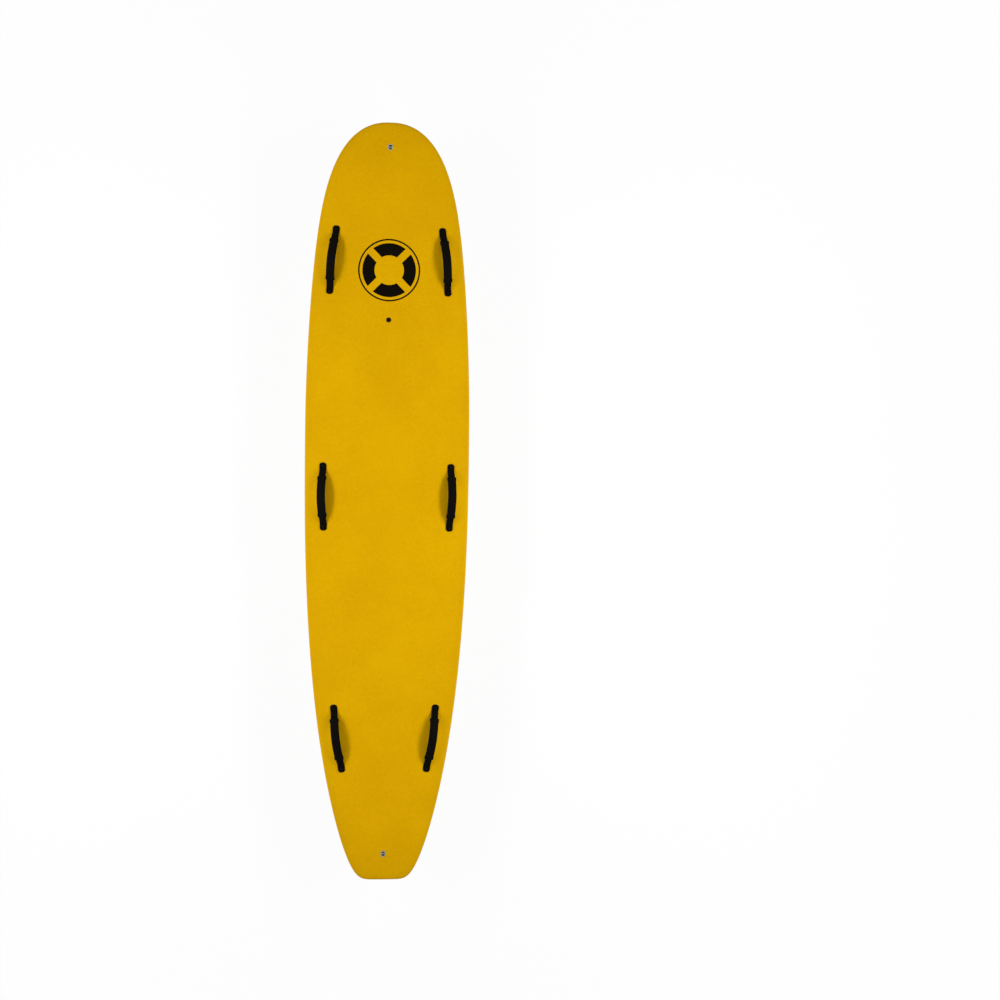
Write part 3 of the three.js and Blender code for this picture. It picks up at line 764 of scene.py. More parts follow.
tree, shader = new_finish("slick_sheet", Specular_IOR_Level=0.3)
tone, scuff = tone_and_scuff(tree, patches=3, marks=26, turn=0.05)
sheet_colour = between(tree, tone, sheet_shade, sheet_grey)
printed_colour = between(tree, chevron_mask(tree), sheet_colour, chevron_red)
scuff_tint = reckon(tree, "MULTIPLY", scuff, sheet_scuff_share)
colour = darkened_joint(tree, between(tree, scuff_tint, printed_colour, sheet_shade))
rough = scuffed_roughness(tree, tone, (0.26, 0.36), scuff, added=0.25)
waves = effect_in(tree, "moulded_grain", grains_per_metre=60)["Height"]
relief = reckon(tree, "MULTIPLY_ADD", scuff, scuff_depth_share, waves)
feed_shader(tree, shader, colour, rough, relief, depth=0.0004, strength=0.35)

# %% [markdown]
# The straps are coarse black webbing. Its threads could be modelled, but they are finer than a picture
# shows, so the weave is a bump on the strap's own UV map, with a painted highlight on the raised threads,
# painted shade between them and a random tone.

# %% Black webbing of the handle straps
weave_shade_share = 0.5

tree, shader = new_finish("webbing", Sheen_Weight=0.01, Specular_IOR_Level=0.02)
thread = effect_in(tree, "woven_thread", threads_per_metre=900)
# Painted highlight and shade: the weave's height makes the raised threads paler and the gaps darker
web_tone_and_weave_shade = weighed(tree, thread["Height"], weave_shade_share, thread["Tone"])
colour = between(tree, web_tone_and_weave_shade, (7, 6, 4), (17, 15, 11))
rough = ramp(tree, web_tone_and_weave_shade, to_low=0.7, to_high=0.9)
feed_shader(tree, shader, colour, rough, thread["Height"], depth=0.0003, strength=0.7)

# %% [markdown]
# Grips, vent, fin, fin box and seal ring come out of moulds. They differ only in their colours, in how
# fine their grain is and in how dull they are, so one function mixes them all.

# %% Grip rubber, black plastic, fin plastic, box plastic and seal rubber
marks_per_patch, mould_scuff_turn, mould_scuff_share = 4, 0.6, 0.35


def moulded_finish(name, dark, light, grains, patches, depth, rough, joint_darkening=None, **plain):
    tree, shader = new_finish(name, **plain)
    tone, scuff = tone_and_scuff(tree, patches, patches * marks_per_patch, mould_scuff_turn)
    colour = between(tree, weighed(tree, scuff, mould_scuff_share, tone), dark, light)
    if joint_darkening:
        colour = joint_darkening(tree, colour)
    scuffed = scuffed_roughness(tree, tone, rough, scuff, added=0.15)
    grain = effect_in(tree, "moulded_grain", grains_per_metre=grains)["Height"]
    feed_shader(tree, shader, colour, scuffed, grain, depth, strength=0.5)


moulded_finish("grip_rubber", (6, 5, 3), (14, 12, 9), grains=1800, patches=20,
               depth=0.0002, rough=(0.55, 0.7), Specular_IOR_Level=0.03)
moulded_finish("black_plastic", (8, 7, 5), (18, 17, 14), grains=2500, patches=40,
               depth=0.0001, rough=(0.4, 0.52), Specular_IOR_Level=0.2)
moulded_finish("fin_plastic", (30, 30, 28), (46, 46, 43), grains=2200, patches=8,
               depth=0.0001, rough=(0.34, 0.48))
moulded_finish("box_plastic", (208, 201, 197), (219, 212, 208), grains=2500,
               patches=12, depth=0.0001, rough=(0.35, 0.45), joint_darkening=darkened_joint)
moulded_finish("seal_rubber", (16, 16, 16), (28, 28, 28), grains=3000, patches=60,
               depth=0.0001, rough=(0.6, 0.75))

# %% [markdown]
# Metal shows its colour only in what it reflects, so its detail is in its roughness: fine turning marks,
# dull patches where salt has dried, and a slightly uneven tone.

# %% Steel, near-black steel, darker olive steel with painted shade and reflection, and brass
def metal_finish(name, dull, bright, rough):
    tree, shader = new_finish(name, Metallic=1.0)
    tone, scuff = tone_and_scuff(tree, patches=120, marks=900, turn=1.2)
    scuffed = scuffed_roughness(tree, tone, rough, scuff, added=0.2)
    grain = effect_in(tree, "moulded_grain", grains_per_metre=5000)["Height"]
    feed_shader(tree, shader, between(tree, tone, dull, bright), scuffed, grain,
                depth=0.00004, strength=0.4)


metal_finish("steel", (140, 141, 135), (168, 169, 164), rough=(0.34, 0.22))
# Near-black steel: black strap and vent screws, and on the fin screw painted shade for its slot
metal_finish("dark_steel", (12, 11, 10), (22, 21, 20), rough=(0.5, 0.34))
# Painted shade and reflection: a darker, olive-yellow steel for the cup's hollow and its bar
metal_finish("steel_with_painted_shade", (134, 134, 112), (158, 158, 136), rough=(0.7, 0.55))
metal_finish("brass", (168, 132, 66), (202, 168, 96), rough=(0.42, 0.26))

# %% [markdown]
# The core is foam of fused beads, and the stringers are strips of wood. Both lie inside the skins, but
# they show when the board is taken apart, so each gets its own grain.

# %% Core foam and stringer wood
wood_stretch = (40, 1.5, 40)

tree, shader = new_finish("core_foam")
beads = add_node(tree, "TexVoronoi", {"Vector": object_place(tree), "Scale": 260.0})
bead_edge_shade = ramp(tree, beads.outputs["Distance"], low=0.2, high=0.8)
# Painted shade: the foam is darker where the beads meet, where their bump also sinks
colour = between(tree, bead_edge_shade, (244, 242, 234), (222, 219, 208))
bead_height = reckon(tree, "SUBTRACT", 1.0, bead_edge_shade)
feed_shader(tree, shader, colour, rough=0.9, height=bead_height, depth=0.0006, strength=0.6)

tree, shader = new_finish("stringer_wood")
grain_place = stretched(tree, object_place(tree), wood_stretch)
grain = noise(tree, grain_place, scale=6.0, detail=5.0, roughness=0.65)
colour = between(tree, grain, (150, 106, 62), (208, 168, 112))
rough = ramp(tree, grain, low=0.3, high=0.7, to_low=0.6, to_high=0.8)
feed_shader(tree, shader, colour, rough, grain, depth=0.0003, strength=0.5)


def dress(piece, finish, node, body=None):
    # Only the weave reads a UV map, and those that the cuts leave on other pieces change with each run
    while piece.data.uv_layers and finish != "webbing":
        piece.data.uv_layers.remove(piece.data.uv_layers[0])
    piece.data.materials.clear()
    piece.data.materials.append(finishes[finish])
    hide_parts(node)
    if body:
        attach(piece, body)
    print(piece.name, "faces:", len(piece.data.polygons))


for slot in frame["record"]["materials"]:
    print("record slot:", slot["slot"])

# %% [markdown]
# ## The deck skin
#
# One sheet of foam is glued over the deck, wrapped round both rails and trimmed at a seam on the bottom.
# It could be cut out of a solid, but a wrapped grid keeps clean rows of faces: a flat grid is added, and
# every point is moved to its place on the hull. Rows crowd towards the tips, where the outline turns fast.

# %% Wrap a grid, and make a sheet of it
hull_rows = 176
tip_reach = 2e-6


def wrapped_grid(name, columns, rows, shape):
    """A grid with each point moved to its shape, and points that meet, such as a row at a tip, merged."""
    put_down_all()
    bpy.ops.mesh.primitive_grid_add(x_subdivisions=columns, y_subdivisions=rows, size=2)
    piece = named(name)
    for vertex in piece.data.vertices:
        vertex.co = shape(vertex.co.x, vertex.co.y)
    weld(piece, tip_reach, outwards=False)
    return piece


def hull_sheet(name, columns, shape):
    """A wrapped grid that is thickened into the hull."""
    sheet = wrapped_grid(name, columns, hull_rows, shape)
    apply_modifier(sheet, "SOLIDIFY", thickness=skin_thickness, offset=-1)
    print(name, "faces before its openings:", len(sheet.data.polygons))
    return sheet


def crowded(along):
    return math.sin(along * math.pi / 2)

# %% The deck's own wrap: over the crown, down to the rail, and under to the seam
crown_columns, under_columns = 26, 8
rail_place = crown_columns / (crown_columns + under_columns)
seam_groove = 0.0007
groove_start = 0.85


def seam_half(share):
    """How far out the seam on the bottom lies."""
    end, away = towards_end(share)
    band = end.band + (rail_band - end.band) * (1 - away ** end.band_power)
    return max(half_width(share) - band, 0)


def groove_at(out):
    return seam_groove * max(0, (out - groove_start) / (1 - groove_start)) ** 2


def deck_point(across, along):
    share = crowded(along)
    y = share * half_length
    half, low, widest, top = section_at(y)
    side = math.copysign(1, across)
    out = abs(across)
    if out <= rail_place:
        angle = (1 - out / rail_place) * math.pi / 2
        x = half * abs(math.cos(angle)) ** (2 / crown_power)
        return side * x, y, widest + (top - widest) * math.sin(angle) ** (2 / crown_power)
    under = (out - rail_place) / (1 - rail_place)
    x = half - (half - seam_half(share)) * under ** 2
    y += (share * (half_length - tip_band) - y) * under
    return side * x, y, bottom_height(x, y) + groove_at(under)


deck_skin = hull_sheet("deck_foam_skin", 2 * (crown_columns + under_columns), deck_point)

# %% [markdown]
# ## The bottom skin
#
# The slick sheet fills the space inside the seam. Its grid is turned over, so that its faces point down
# and its thickness grows into the hull. Both sheets dip into a shallow groove where they meet.

# %% The bottom's wrap
panel_columns = 44
panel_flat_place = 0.5


def bottom_point(across, along):
    share = crowded(along)
    y = share * (half_length - tip_band - seam_gap)
    edge = max(seam_half(share) - seam_gap, 0)
    half = half_width(share)
    flat = min(half - min(tuck_width, half * tuck_share), edge)
    out = abs(across)
    if out <= panel_flat_place:
        x = flat * out / panel_flat_place
    else:
        x = flat + (edge - flat) * (out - panel_flat_place) / (1 - panel_flat_place)
    return math.copysign(x, -across), y, bottom_height(x, y) + groove_at(out)


bottom_skin = hull_sheet("slick_bottom_skin", panel_columns, bottom_point)

# %% [markdown]
# ## Six carry handles
#
# A handle is a length of stiff black webbing, screwed down at both ends, that arches up through a padded
# rubber sleeve. One strap and one sleeve are made on a flat deck, and each copy is then set at its own
# place, where the strap's ends are pressed onto the curve of the deck.

# %% Handle sizes and the six places
strap_width, strap_thickness, strap_end_radius = 0.030, 0.003, 0.012
handle_length, tab_length, arch_rise = 0.288, 0.032, 0.038
strap_screw_inset = 0.014
arch_end = handle_length / 2 - tab_length
screw_place = handle_length / 2 - strap_screw_inset
bend_softness = 0.003

handle_rail_inset = 0.081
front_setback, middle_ahead, rear_setback = 0.575, 0.026, 0.604
front_toe, middle_toe, rear_toe = 5.8, -1, -7.9
handle_rows = {
    "front": (half_length - front_setback, front_toe),
    "middle": (middle_ahead, middle_toe),
    "rear": (rear_setback - half_length, rear_toe),
}

handle_places = {}
for row, (ahead, toe) in handle_rows.items():
    out = half_width(ahead / half_length) - handle_rail_inset
    for label, side in left_and_right.items():
        handle_places[f"{row}_{label}"] = deck_place(side * out, ahead, -side * toe, screw_place)
print("handles at, m:", {handle: tuple(round(part, 3) for part in place.translation)
                         for handle, place in handle_places.items()})

# %% The line that a strap's middle follows: flat at its tabs, arched between, with a soft bend
slope_step = 0.001


def strap_line(y):
    arch = arch_rise * (1 - (y / arch_end) ** 2)
    return strap_thickness / 2 + (arch + math.sqrt(arch ** 2 + bend_softness ** 2)) / 2


def on_strap_line(x, y, up):
    """A point beside the strap's middle line, measured square to the line."""
    rise = (strap_line(y + slope_step) - strap_line(y - slope_step)) / (2 * slope_step)
    run = math.hypot(1, rise)
    return Vector((x, y - rise / run * up, strap_line(y) + up / run))


def slice_mesh(piece, axis, length, count):
    """Cuts a piece right through at even steps along one axis, so that it can bend there."""
    normal = [0, 0, 0]
    normal[axis] = 1
    open_mesh(piece)
    for step in range(1, count):
        point = [0, 0, 0]
        point[axis] = (step / count - 0.5) * length
        bpy.ops.mesh.select_all(action="SELECT")
        bpy.ops.mesh.bisect(plane_co=point, plane_no=normal)
    close_mesh()


def unroll(piece):
    """A UV map in metres, from each corner's own place across and along a flat piece."""
    layer = piece.data.uv_layers.get("UVMap") or piece.data.uv_layers.new(name="UVMap")
    for loop in piece.data.loops:
        layer.data[loop.index].uv = piece.data.vertices[loop.vertex_index].co.xy

# %% The strap: a thin block, its corners rounded, sliced along and across, then arched
strap_slices, strap_strips = 96, 10
strap_edge = 0.0006
selvedge_width, selvedge_rise = 0.0022, 0.00025
strap_hole_radius = 0.0028
screw_ends = {"fore": 1, "aft": -1}
overrun = 0.010


def at_screw(place, end):
    return place @ Matrix.Translation((0, end * screw_place, 0))


def strap_holes(place, sides):
    """Cutters for the two screw holes of a handle that stands at a place."""
    return [put_at(rod("hole", strap_hole_radius, -overrun, overrun, sides), at_screw(place, end))
            for end in screw_ends.values()]


strap = oblong_block("strap", strap_width, handle_length, -strap_thickness / 2, strap_thickness / 2,
                     strap_end_radius)
round_edges(strap, strap_edge)
slice_mesh(strap, axis_y, handle_length, strap_slices)
slice_mesh(strap, axis_x, strap_width, strap_strips)
unroll(strap)
for vertex in strap.data.vertices:
    x, y, up = vertex.co
    if abs(x) > strap_width / 2 - selvedge_width:
        up += math.copysign(selvedge_rise, up)
    vertex.co = on_strap_line(x, y, up)
weld(strap)
cut_by(strap, gathered(strap_holes(Matrix(), sides=24), "holes"))
smooth(strap)
print("strap faces:", len(strap.data.polygons))

# %% [markdown]
# The sleeve is soft rubber foam round the strap. It could be a plain tube, but the real one is oval, a
# little fuller in the middle, with a thicker collar at each end and fine ribs across for wet hands.

# %% The grip's sizes and its shape round the strap
grip_length, grip_width, grip_thickness = 0.172, 0.035, 0.013
collar_width, collar_length, collar_taper = 0.039, 0.012, 0.005
collar_rise = 0.0008
grip_round_power = 3
rib_pitch, rib_depth = 0.006, 0.00035
grip_swell = 0.0006
grip_end_round = 0.002


def eased(value):
    value = min(max(value, 0), 1)
    return value * value * (3 - 2 * value)


def grip_point(place):
    x, y, z = place
    from_end = grip_length / 2 - abs(y)
    collar = 1 - eased((from_end - collar_length) / collar_taper)
    rib = (1 - collar) * rib_depth * (1 - math.cos(2 * math.pi * y / rib_pitch)) / 2
    swell = (1 - collar) * grip_swell * (1 - (2 * y / grip_length) ** 2)
    tuck_in = grip_end_round - min(from_end, grip_end_round)
    rounding = grip_end_round - math.sqrt(max(grip_end_round ** 2 - tuck_in ** 2, 0))
    half_across = (grip_width + (collar_width - grip_width) * collar) / 2 + swell - rounding
    half_deep = grip_thickness / 2 + collar * collar_rise + swell - rib - rounding
    squared = 2 / grip_round_power
    across = math.copysign(abs(x) ** squared, x) * half_across
    deep = math.copysign(abs(z) ** squared, z) * half_deep
    return on_strap_line(across, y, deep)

# %% The sleeve, from a cylinder, with its slot for the strap
grip_slices, grip_sides, grip_angle = 171, 48, 40
fit_gap = 0.0003
slot_corner = 0.001

put_down_all()
bpy.ops.mesh.primitive_cylinder_add(vertices=grip_sides, radius=1, depth=grip_length,
                                    rotation=(math.pi / 2, 0, 0))
grip = named("grip")
open_mesh(grip, "EDGE")
select_edges_along(grip, axis_y)
bpy.ops.mesh.subdivide(number_cuts=grip_slices - 1)
close_mesh()
for vertex in grip.data.vertices:
    vertex.co = grip_point(vertex.co)

slot_half = strap_thickness / 2 + fit_gap
slot_cutter = oblong_block("slot", strap_width + 2 * fit_gap, handle_length, -slot_half, slot_half,
                           slot_corner)
slice_mesh(slot_cutter, axis_y, handle_length, strap_slices)
for vertex in slot_cutter.data.vertices:
    vertex.co = on_strap_line(*vertex.co)
weld(slot_cutter)
cut_by(grip, slot_cutter)
smooth(grip, grip_angle)
print("grip faces:", len(grip.data.polygons))

# %% [markdown]
# Each handle is held by two button-head screws with a hexagon recess. Their heads sit on the webbing.

# %% The strap screw
strap_head_floor, strap_screw_reach = 0.0033, 0.030
shank_radius, shank_tip_radius, shank_tip_length = 0.0025, 0.0021, 0.0005
head_radius, head_rim, head_top_radius, head_rise = 0.0065, 0.0011, 0.0043, 0.0032
head_edge = 0.0003
hex_radius, hex_depth = 0.0024, 0.0016


def button_screw(name):
    foot = strap_head_floor - strap_screw_reach
    top = strap_head_floor + head_rise
    shank = [(shank_tip_radius, foot), (shank_radius, foot + shank_tip_length),
             (shank_radius, strap_head_floor)]
    rim = [(head_radius - head_edge, strap_head_floor), (head_radius, strap_head_floor + head_edge),
           (head_radius, strap_head_floor + head_rim)]
    screw = turned(name, shank + rim + quarter(rim[-1], (head_top_radius, top)), sides=40)
    cut_by(screw, rod("recess", hex_radius, top - hex_depth, top + overrun, sides=6))
    return smooth(screw)


strap_screw = button_screw("strap_screw")

# %% Copies at the six places
press_reach = arch_rise / 4
blend_start, blend_end = 0.004, 0.015


def pressed_onto_deck(piece, place):
    """Bends the ends of a strap that was made on a flat deck down, or up, onto the real one."""
    back = place.inverted()
    for vertex in piece.data.vertices:
        on_plane = back @ vertex.co
        under = place @ Vector((on_plane.x, on_plane.y, 0))
        drop = (deck_height(under.x, under.y) - under.z) * place[2][2]
        held = 1 - eased((on_plane.z - strap_thickness) / press_reach)
        vertex.co += place.col[2].xyz * (drop * held)


for handle, place in handle_places.items():
    own_strap = copy_at(strap, f"{handle}_webbing_strap", place)
    pressed_onto_deck(own_strap, place)
    dress(own_strap, "webbing", f"{handle}_strap")
    start, end = [place @ Vector((0, 0, height)) for height in (blend_start, blend_end)]
    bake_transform(own_strap)

    own_grip = copy_at(grip, f"{handle}_sleeve", place)
    dress(own_grip, "grip_rubber", f"{handle}_grip", f"{handle}_handle")

    for label, end in screw_ends.items():
        own_screw = copy_at(strap_screw, f"{handle}_{label}_button_screw", at_screw(place, end))
        dress(own_screw, "dark_steel", f"{handle}_{label}_screw", "hull")

for master in (strap, grip, strap_screw):
    bpy.data.objects.remove(master)

# %% [markdown]
# ## Towing plugs
#
# A line is tied round a steel crossbar that lies in an oval cup. The cup is one stack of oval rings: up
# its outside, over a rounded rim, and down into the hollow. The bar is a turned rod with rounded ends.

# %% The plug's sizes, its cup and its bar
plug_rim_width, plug_rim_length, plug_rim_top = 0.022, 0.027, 0.002
plug_width, plug_length, plug_depth = 0.019, 0.024, 0.020
plug_wall, plug_floor = 0.0022, 0.003
rim_seat = 0.0004
cup_edge, cup_round_share = 0.0007, 0.3
bar_radius, bar_length, bar_edge = 0.0023, 0.018, 0.0005


def oval_rings(width, length, profile):
    """Rings of one oval, each set in from its edge and at its height."""
    return [(width / 2 - inset, length / 2 - inset, height) for inset, height in profile]


def plug_cup(name):
    rim_side = plug_rim_top - cup_edge
    inner_floor = plug_floor - plug_depth
    body = oval_rings(plug_width, plug_length, [
        (cup_edge, -plug_depth), (0, cup_edge - plug_depth), (0, -rim_seat)])
    rim = oval_rings(plug_rim_width, plug_rim_length, [
        (0, -rim_seat), (0, rim_side),
        (cup_edge * cup_round_share, rim_side + cup_edge * (1 - cup_round_share)), (cup_edge, plug_rim_top)])
    hollow = oval_rings(plug_width, plug_length, [
        (plug_wall - cup_edge, plug_rim_top), (plug_wall, rim_side),
        (plug_wall, inner_floor + cup_edge), (plug_wall + cup_edge, inner_floor)])
    return smooth(ring_by_ring(name, body + rim + hollow, sides=64))


def cross_bar(name):
    half = bar_length / 2
    bar = turned(name, [(bar_radius - bar_edge, -half), (bar_radius, bar_edge - half),
                        (bar_radius, half - bar_edge), (bar_radius - bar_edge, half)], sides=32)
    return smooth(put_at(bar, lying_across(0, plug_rim_top - bar_radius)))


def paint_hollow_shade(cup, place):
    """Gives the faces inside the cup's wall a darker, olive-yellow steel: painted shade of the hollow and a
    painted reflection of the yellow deck.
    """
    cup.data.materials.append(finishes["steel_with_painted_shade"])
    for face in cup.data.polygons:
        centre = place.inverted() @ face.center
        oval = (2 * centre.x / (plug_width - plug_wall), 2 * centre.y / (plug_length - plug_wall))
        face.material_index = int(math.hypot(*oval) < 1)

# %% A plug at the nose and one at the tail
nose_plug_setback, tail_plug_setback = 0.106, 0.117
plug_places = {
    "nose": deck_place(0, half_length - nose_plug_setback),
    "tail": deck_place(0, tail_plug_setback - half_length),
}

for label, place in plug_places.items():
    cup = put_at(plug_cup(f"{label}_towing_cup"), place)
    dress(cup, "steel", f"{label}_plug_cup", "hull")
    # Painted shade and a painted yellow reflection: the cup's hollow and its bar take the darker olive steel
    paint_hollow_shade(cup, place)
    bar = put_at(cross_bar(f"{label}_towing_bar"), place)
    dress(bar, "steel_with_painted_shade", f"{label}_plug_bar", "hull")

# %% [markdown]
# ## Vent
#
# Heat swells the air in the foam, so a vent lets it out: a black housing through the deck, closed by a
# slotted screw on a seal ring. Both are turned, and the screw's slot is cut with a thin block.

# %% The vent's sizes and its housing
vent_setback = 0.824
vent_rim_radius, vent_rim_rise, vent_body_radius, vent_depth = 0.0105, 0.0018, 0.0086, 0.019
vent_head_radius, vent_head_height = 0.006, 0.0024
vent_bore_radius, vent_screw_reach = 0.0034, 0.013
vent_seal_thickness, vent_foot = 0.0014, 0.002
vent_slot_width, vent_slot_depth = 0.0014, 0.0011
vent_edge = 0.0006
vent_place = deck_place(0, half_length - vent_setback)


def vent_housing(name):
    seat = vent_rim_rise - vent_head_height - vent_seal_thickness - 2 * fit_gap
    head_space = vent_head_radius + fit_gap
    bore = vent_bore_radius + fit_gap
    outside = [(vent_body_radius, -vent_depth), (vent_body_radius, -rim_seat),
               (vent_rim_radius, -rim_seat), (vent_rim_radius, vent_rim_rise - vent_edge)]
    over = quarter(outside[-1], (vent_rim_radius - 2 * vent_edge, vent_rim_rise))
    inside = [(head_space + vent_edge / 2, vent_rim_rise), (head_space, vent_rim_rise - vent_edge / 2),
              (head_space, seat), (bore, seat), (bore, vent_foot - vent_depth)]
    return smooth(turned(name, outside + over + inside, sides=64))


housing = put_at(vent_housing("vent_body"), vent_place)
dress(housing, "black_plastic", "vent_housing", "hull")

# %% Slotted screws, and the one in the vent
slot_corner_share = 1 / 8


def slotted_screw(name, profile, head_top, width, depth, length):
    """A turned screw with a slot across its head, which may point up or down."""
    screw = turned(name, profile)
    low, high = sorted((head_top - depth, head_top + depth))
    cut_by(screw, oblong_block("slot", width, length, low, high, width * slot_corner_share))
    return smooth(screw)


vent_screw_foot = vent_rim_rise - vent_screw_reach
vent_head_floor = vent_rim_rise - vent_head_height
vent_head_side = (vent_head_radius, vent_rim_rise - vent_edge)
vent_profile = [(vent_bore_radius - vent_edge, vent_screw_foot),
                (vent_bore_radius, vent_screw_foot + vent_edge), (vent_bore_radius, vent_head_floor),
                (vent_head_radius, vent_head_floor), vent_head_side]
vent_profile += quarter(vent_head_side, (vent_head_radius - 2 * vent_edge, vent_rim_rise))
vent_plug = slotted_screw("vent_slotted_screw", vent_profile, vent_rim_rise, vent_slot_width,
                          vent_slot_depth, 3 * vent_head_radius)
dress(put_at(vent_plug, vent_place), "dark_steel", "vent_screw", "vent_screw")

# %% [markdown]
# ## Fin box
#
# The box is a moulded channel let into the bottom. A long slot takes the fin, an undercut track inside
# holds its pin and plate, and a notch in the middle lets them in. It is a block with the slots cut out.

# %% The box's place and its cuts
box_flange, box_ledge, box_depth, box_end_wall, box_edge = 0.0025, 0.0015, 0.025, 0.0075, 0.0003
fin_slot_width, fin_slot_depth = 0.0096, 0.019
track_width, track_floor, track_height, track_end_gap = 0.0154, 0.008, 0.0055, 0.001
notch_width, notch_length, notch_corner = 0.020, 0.025, 0.0008
# Keeps the faces of two blocks from lying in one plane
hair = 1e-5
fin_slot_length = box_length - 2 * box_end_wall
track_top = track_floor + track_height
slot_end = fin_slot_width / 2 - hair


def box_place():
    rear = box_setback - half_length
    front = rear + box_length
    low, high = bottom_line(rear / half_length), bottom_line(front / half_length)
    pitch = math.atan2(high - low, box_length)
    return Matrix.Translation((0, (rear + front) / 2, (low + high) / 2)) @ Matrix.Rotation(pitch, 4, "X")


def box_form(name, gap, low):
    """The outside of the box, or of its pocket with a gap round it, from a low face upwards."""
    width, length = box_width + 2 * gap, box_length + 2 * gap
    form = oblong_block(name, width, length, low, box_flange + gap, box_corner)
    body = oblong_block("body", width - 2 * box_ledge, length - 2 * box_ledge, (low + box_flange) / 2,
                        box_depth + gap, box_corner)
    combine(form, body, "UNION")
    return form


fin_place = box_place()
fin_box = box_form("moulded_fin_box", 0, 0)
cut_by(fin_box,
       oblong_block("slot", fin_slot_width, fin_slot_length, -overrun, fin_slot_depth, slot_end),
       oblong_block("track", track_width, fin_slot_length - track_end_gap, track_floor, track_top, slot_end),
       oblong_block("notch", notch_width, notch_length, -overrun, track_top - hair, notch_corner))
round_edges(fin_box, box_edge)
put_at(smooth(fin_box), fin_place)
dress(fin_box, "box_plastic", "fin_box", "hull")

# %% [markdown]
# ## Fin
#
# The fin is a foil: round at its front edge, thickest a third of the way back, and thin at its rear. Its
# outline sweeps back to a narrow tip. A grid is wrapped round it, from the rear edge over the front edge
# and back, and its root runs into the tang that slides in the box.

# %% The fin's outline and section
fin_base, fin_depth, fin_rake, fin_tip_chord, fin_hollow = 0.156, 0.225, 0.268, 0.024, 0.022
fin_tip_thickness, fin_trailing = 0.005, 0.0014
fin_nose_share, fin_tip_power, fin_crowd_power = 0.35, 12, 1.5
trailing_round_place, tip_thin_power = 0.96, 30
fin_side_gap, fin_end_clearance = 0.0003, 0.002
fin_tab_length, fin_tab_floor, fin_tab_thickness = 0.022, 0.0036, 0.004
fin_thickness = fin_slot_width - 2 * fin_side_gap
fin_tab_front = fin_slot_length / 2 - fin_end_clearance
fin_front = fin_tab_front - fin_tab_length


def fin_edges(share):
    """How far behind the fin's front its front and rear edges lie, at a share of its depth."""
    front = (fin_rake - fin_tip_chord) * (share + share ** 3) / 2
    rear = fin_base + (fin_rake - fin_base) * share ** 2 - fin_hollow * math.sin(share * math.pi)
    close = (rear - front) * (1 - math.sqrt(max(1 - share ** fin_tip_power, 0))) / 2
    return front + close, rear - close / 2


def fin_fullness(back, thickness):
    """How full the foil is, at a share of the way back from its front edge."""
    if back < fin_nose_share:
        return math.sqrt(1 - (1 - back / fin_nose_share) ** 2)
    thinned = ((back - fin_nose_share) / (1 - fin_nose_share)) ** 2
    return 1 - (1 - fin_trailing / thickness) * thinned


def fin_point(across, along):
    share = math.sin((along + 1) / 2 * math.pi / 2)
    front, rear = fin_edges(share * tip_share)
    thickness = fin_thickness + (fin_tip_thickness - fin_thickness) * share
    closing = math.sqrt(max(1 - share ** tip_thin_power, 0))
    out = abs(across)
    back = min(out / trailing_round_place, 1) ** fin_crowd_power
    half = thickness / 2 * fin_fullness(back, thickness)
    past = max(out - trailing_round_place, 0) / (1 - trailing_round_place)
    half *= math.sqrt(1 - past ** 2)
    y = fin_front - front - back * (rear - front)
    return math.copysign(half * closing, across), y - past * fin_trailing / 2 * closing, -share * fin_depth

# %% The fin with its tang and front tab
fin_columns, fin_rows, fin_angle = 72, 60, 40
tang_floor, root_overlap, tang_slack = 0.002, 0.003, 0.0001
screw_way_radius, pin_way_radius, pin_inset = 0.0022, 0.0023, 0.012

fin = wrapped_grid("raked_fin", fin_columns, fin_rows, fin_point)
open_mesh(fin, "EDGE")
bpy.ops.mesh.select_all(action="DESELECT")
bpy.ops.mesh.select_non_manifold()
bpy.ops.mesh.extrude_region_move(TRANSFORM_OT_translate={"value": (0, 0, tang_floor + root_overlap)})
bpy.ops.mesh.edge_face_add()
close_mesh()
weld(fin)

tang = oblong_block("tang", fin_thickness - tang_slack, fin_base, tang_floor,
                    fin_slot_depth - fin_end_clearance, fin_thickness / 2 - tang_slack,
                    fin_front - fin_base / 2)
tab = oblong_block("tab", fin_thickness - 2 * tang_slack, 2 * fin_tab_length, fin_tab_floor,
                   fin_tab_floor + fin_tab_thickness, fin_thickness / 2 - 2 * tang_slack, fin_front)
combine(tang, tab, "UNION")
combine(fin, tang, "UNION")

fin_screw_at = Matrix.Translation((0, fin_tab_front - fin_tab_length / 2, 0))
pin_at = lying_across(fin_front - fin_base + pin_inset, track_floor + pin_way_radius)
cut_by(fin,
       put_at(rod("screw_way", screw_way_radius, -overrun, fin_slot_depth, sides=24), fin_screw_at),
       put_at(rod("pin_way", pin_way_radius, -track_width, track_width, sides=24), pin_at))
put_at(smooth(fin, fin_angle), fin_place)
dress(fin, "fin_plastic", "fin", "fin_carriage")

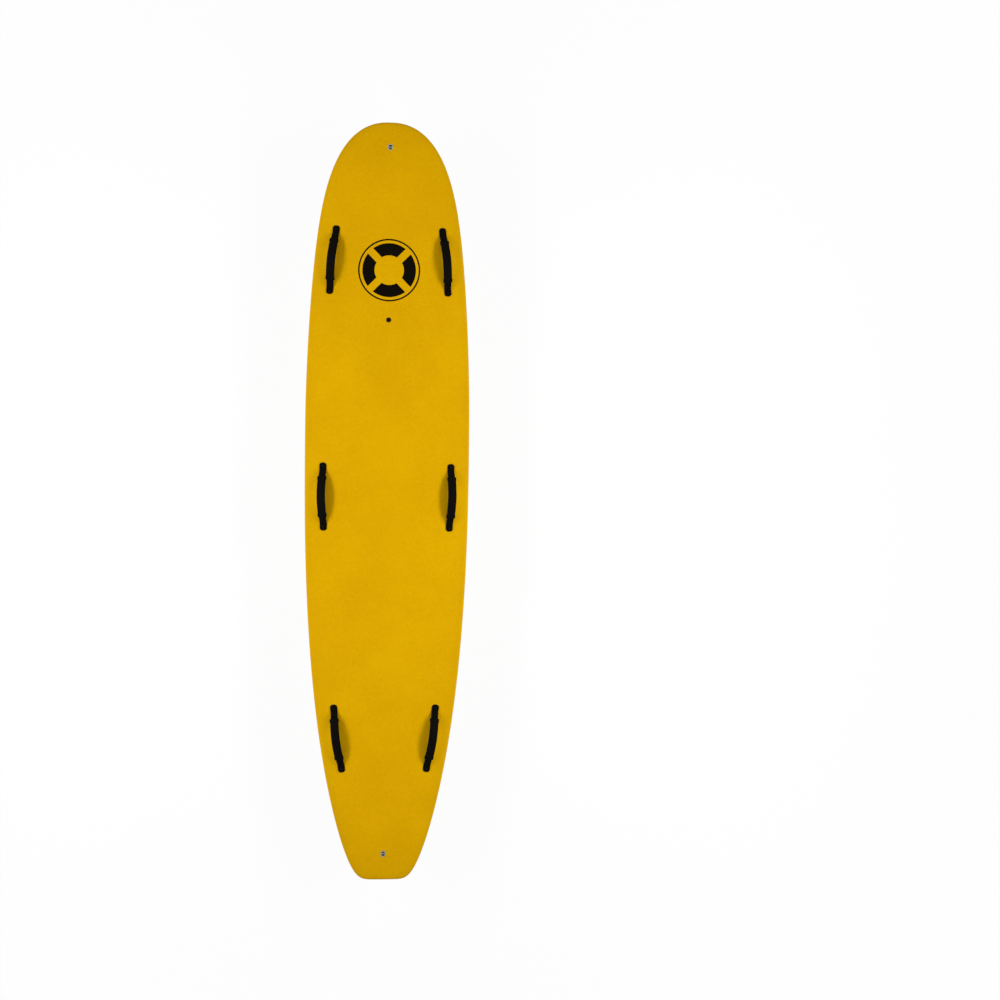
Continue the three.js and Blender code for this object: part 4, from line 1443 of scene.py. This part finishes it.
# %% The fin screw, with its head down
fin_head_radius, fin_head_height, fin_screw_radius, fin_screw_reach = 0.0035, 0.0023, 0.0019, 0.0095
fin_screw_edge = 0.0004
fin_screw_slot_width, fin_screw_slot_depth, fin_screw_slot_length = 0.0009, 0.0009, 0.010
head_top = fin_tab_floor - fin_side_gap
head_low = head_top - fin_head_height
screw_end = head_top + fin_screw_reach
fin_screw_profile = [(fin_head_radius - fin_screw_edge, head_low),
                     (fin_head_radius, head_low + fin_screw_edge), (fin_head_radius, head_top),
                     (fin_screw_radius, head_top), (fin_screw_radius, screw_end - fin_screw_edge),
                     (fin_screw_radius - fin_screw_edge, screw_end)]
fin_screw = slotted_screw("fin_slotted_screw", fin_screw_profile, head_low, fin_screw_slot_width,
                          fin_screw_slot_depth, fin_screw_slot_length)
# The fin screw takes the near-black steel as painted shade, so that it stays as dark as its slot
dress(put_at(fin_screw, fin_place @ fin_screw_at), "dark_steel", "fin_screw", "fin_screw")

# %% [markdown]
# ## Openings in the two skins
#
# With everything in its place, the skins are cut where screws, plugs, vent and box pass through them. The
# cutters are the pieces' own outlines, a little larger, gathered so that each skin is cut once.

# %% Cut the deck and the bottom
plug_pocket = [(plug_width / 2 + fit_gap, plug_length / 2 + fit_gap, height)
               for height in (-plug_depth, overrun)]
cutters = [put_at(ring_by_ring("pocket", plug_pocket), place) for place in plug_places.values()]
cutters.append(put_at(rod("vent_pocket", vent_body_radius + fit_gap, -vent_depth, overrun), vent_place))
for place in handle_places.values():
    cutters += strap_holes(place, sides=16)
cut_by(deck_skin, gathered(cutters, "deck_cutters"))
cut_by(bottom_skin, put_at(box_form("box_pocket", fit_gap, -overrun), fin_place))
dress(smooth(deck_skin), "deck_foam", "deck_skin", "hull")
dress(smooth(bottom_skin), "slick_sheet", "bottom_skin", "hull")

# %% [markdown]
# ## The pieces inside
#
# The cores, stringers, threaded inserts, seal ring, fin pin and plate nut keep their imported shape. Each
# gets the finish of what it is made of.

# %% Finishes of the inner pieces
inner_finishes = {"core": "core_foam", "stringer": "stringer_wood", "vent_seal": "seal_rubber",
                  "fin_pin": "brass", "fin_plate": "steel", "insert": "brass"}
for name, node in frame["nodes"].items():
    for word, finish in inner_finishes.items():
        if word in name:
            node.data.materials.clear()
            node.data.materials.append(finishes[finish])
            print(name, "in", finish)
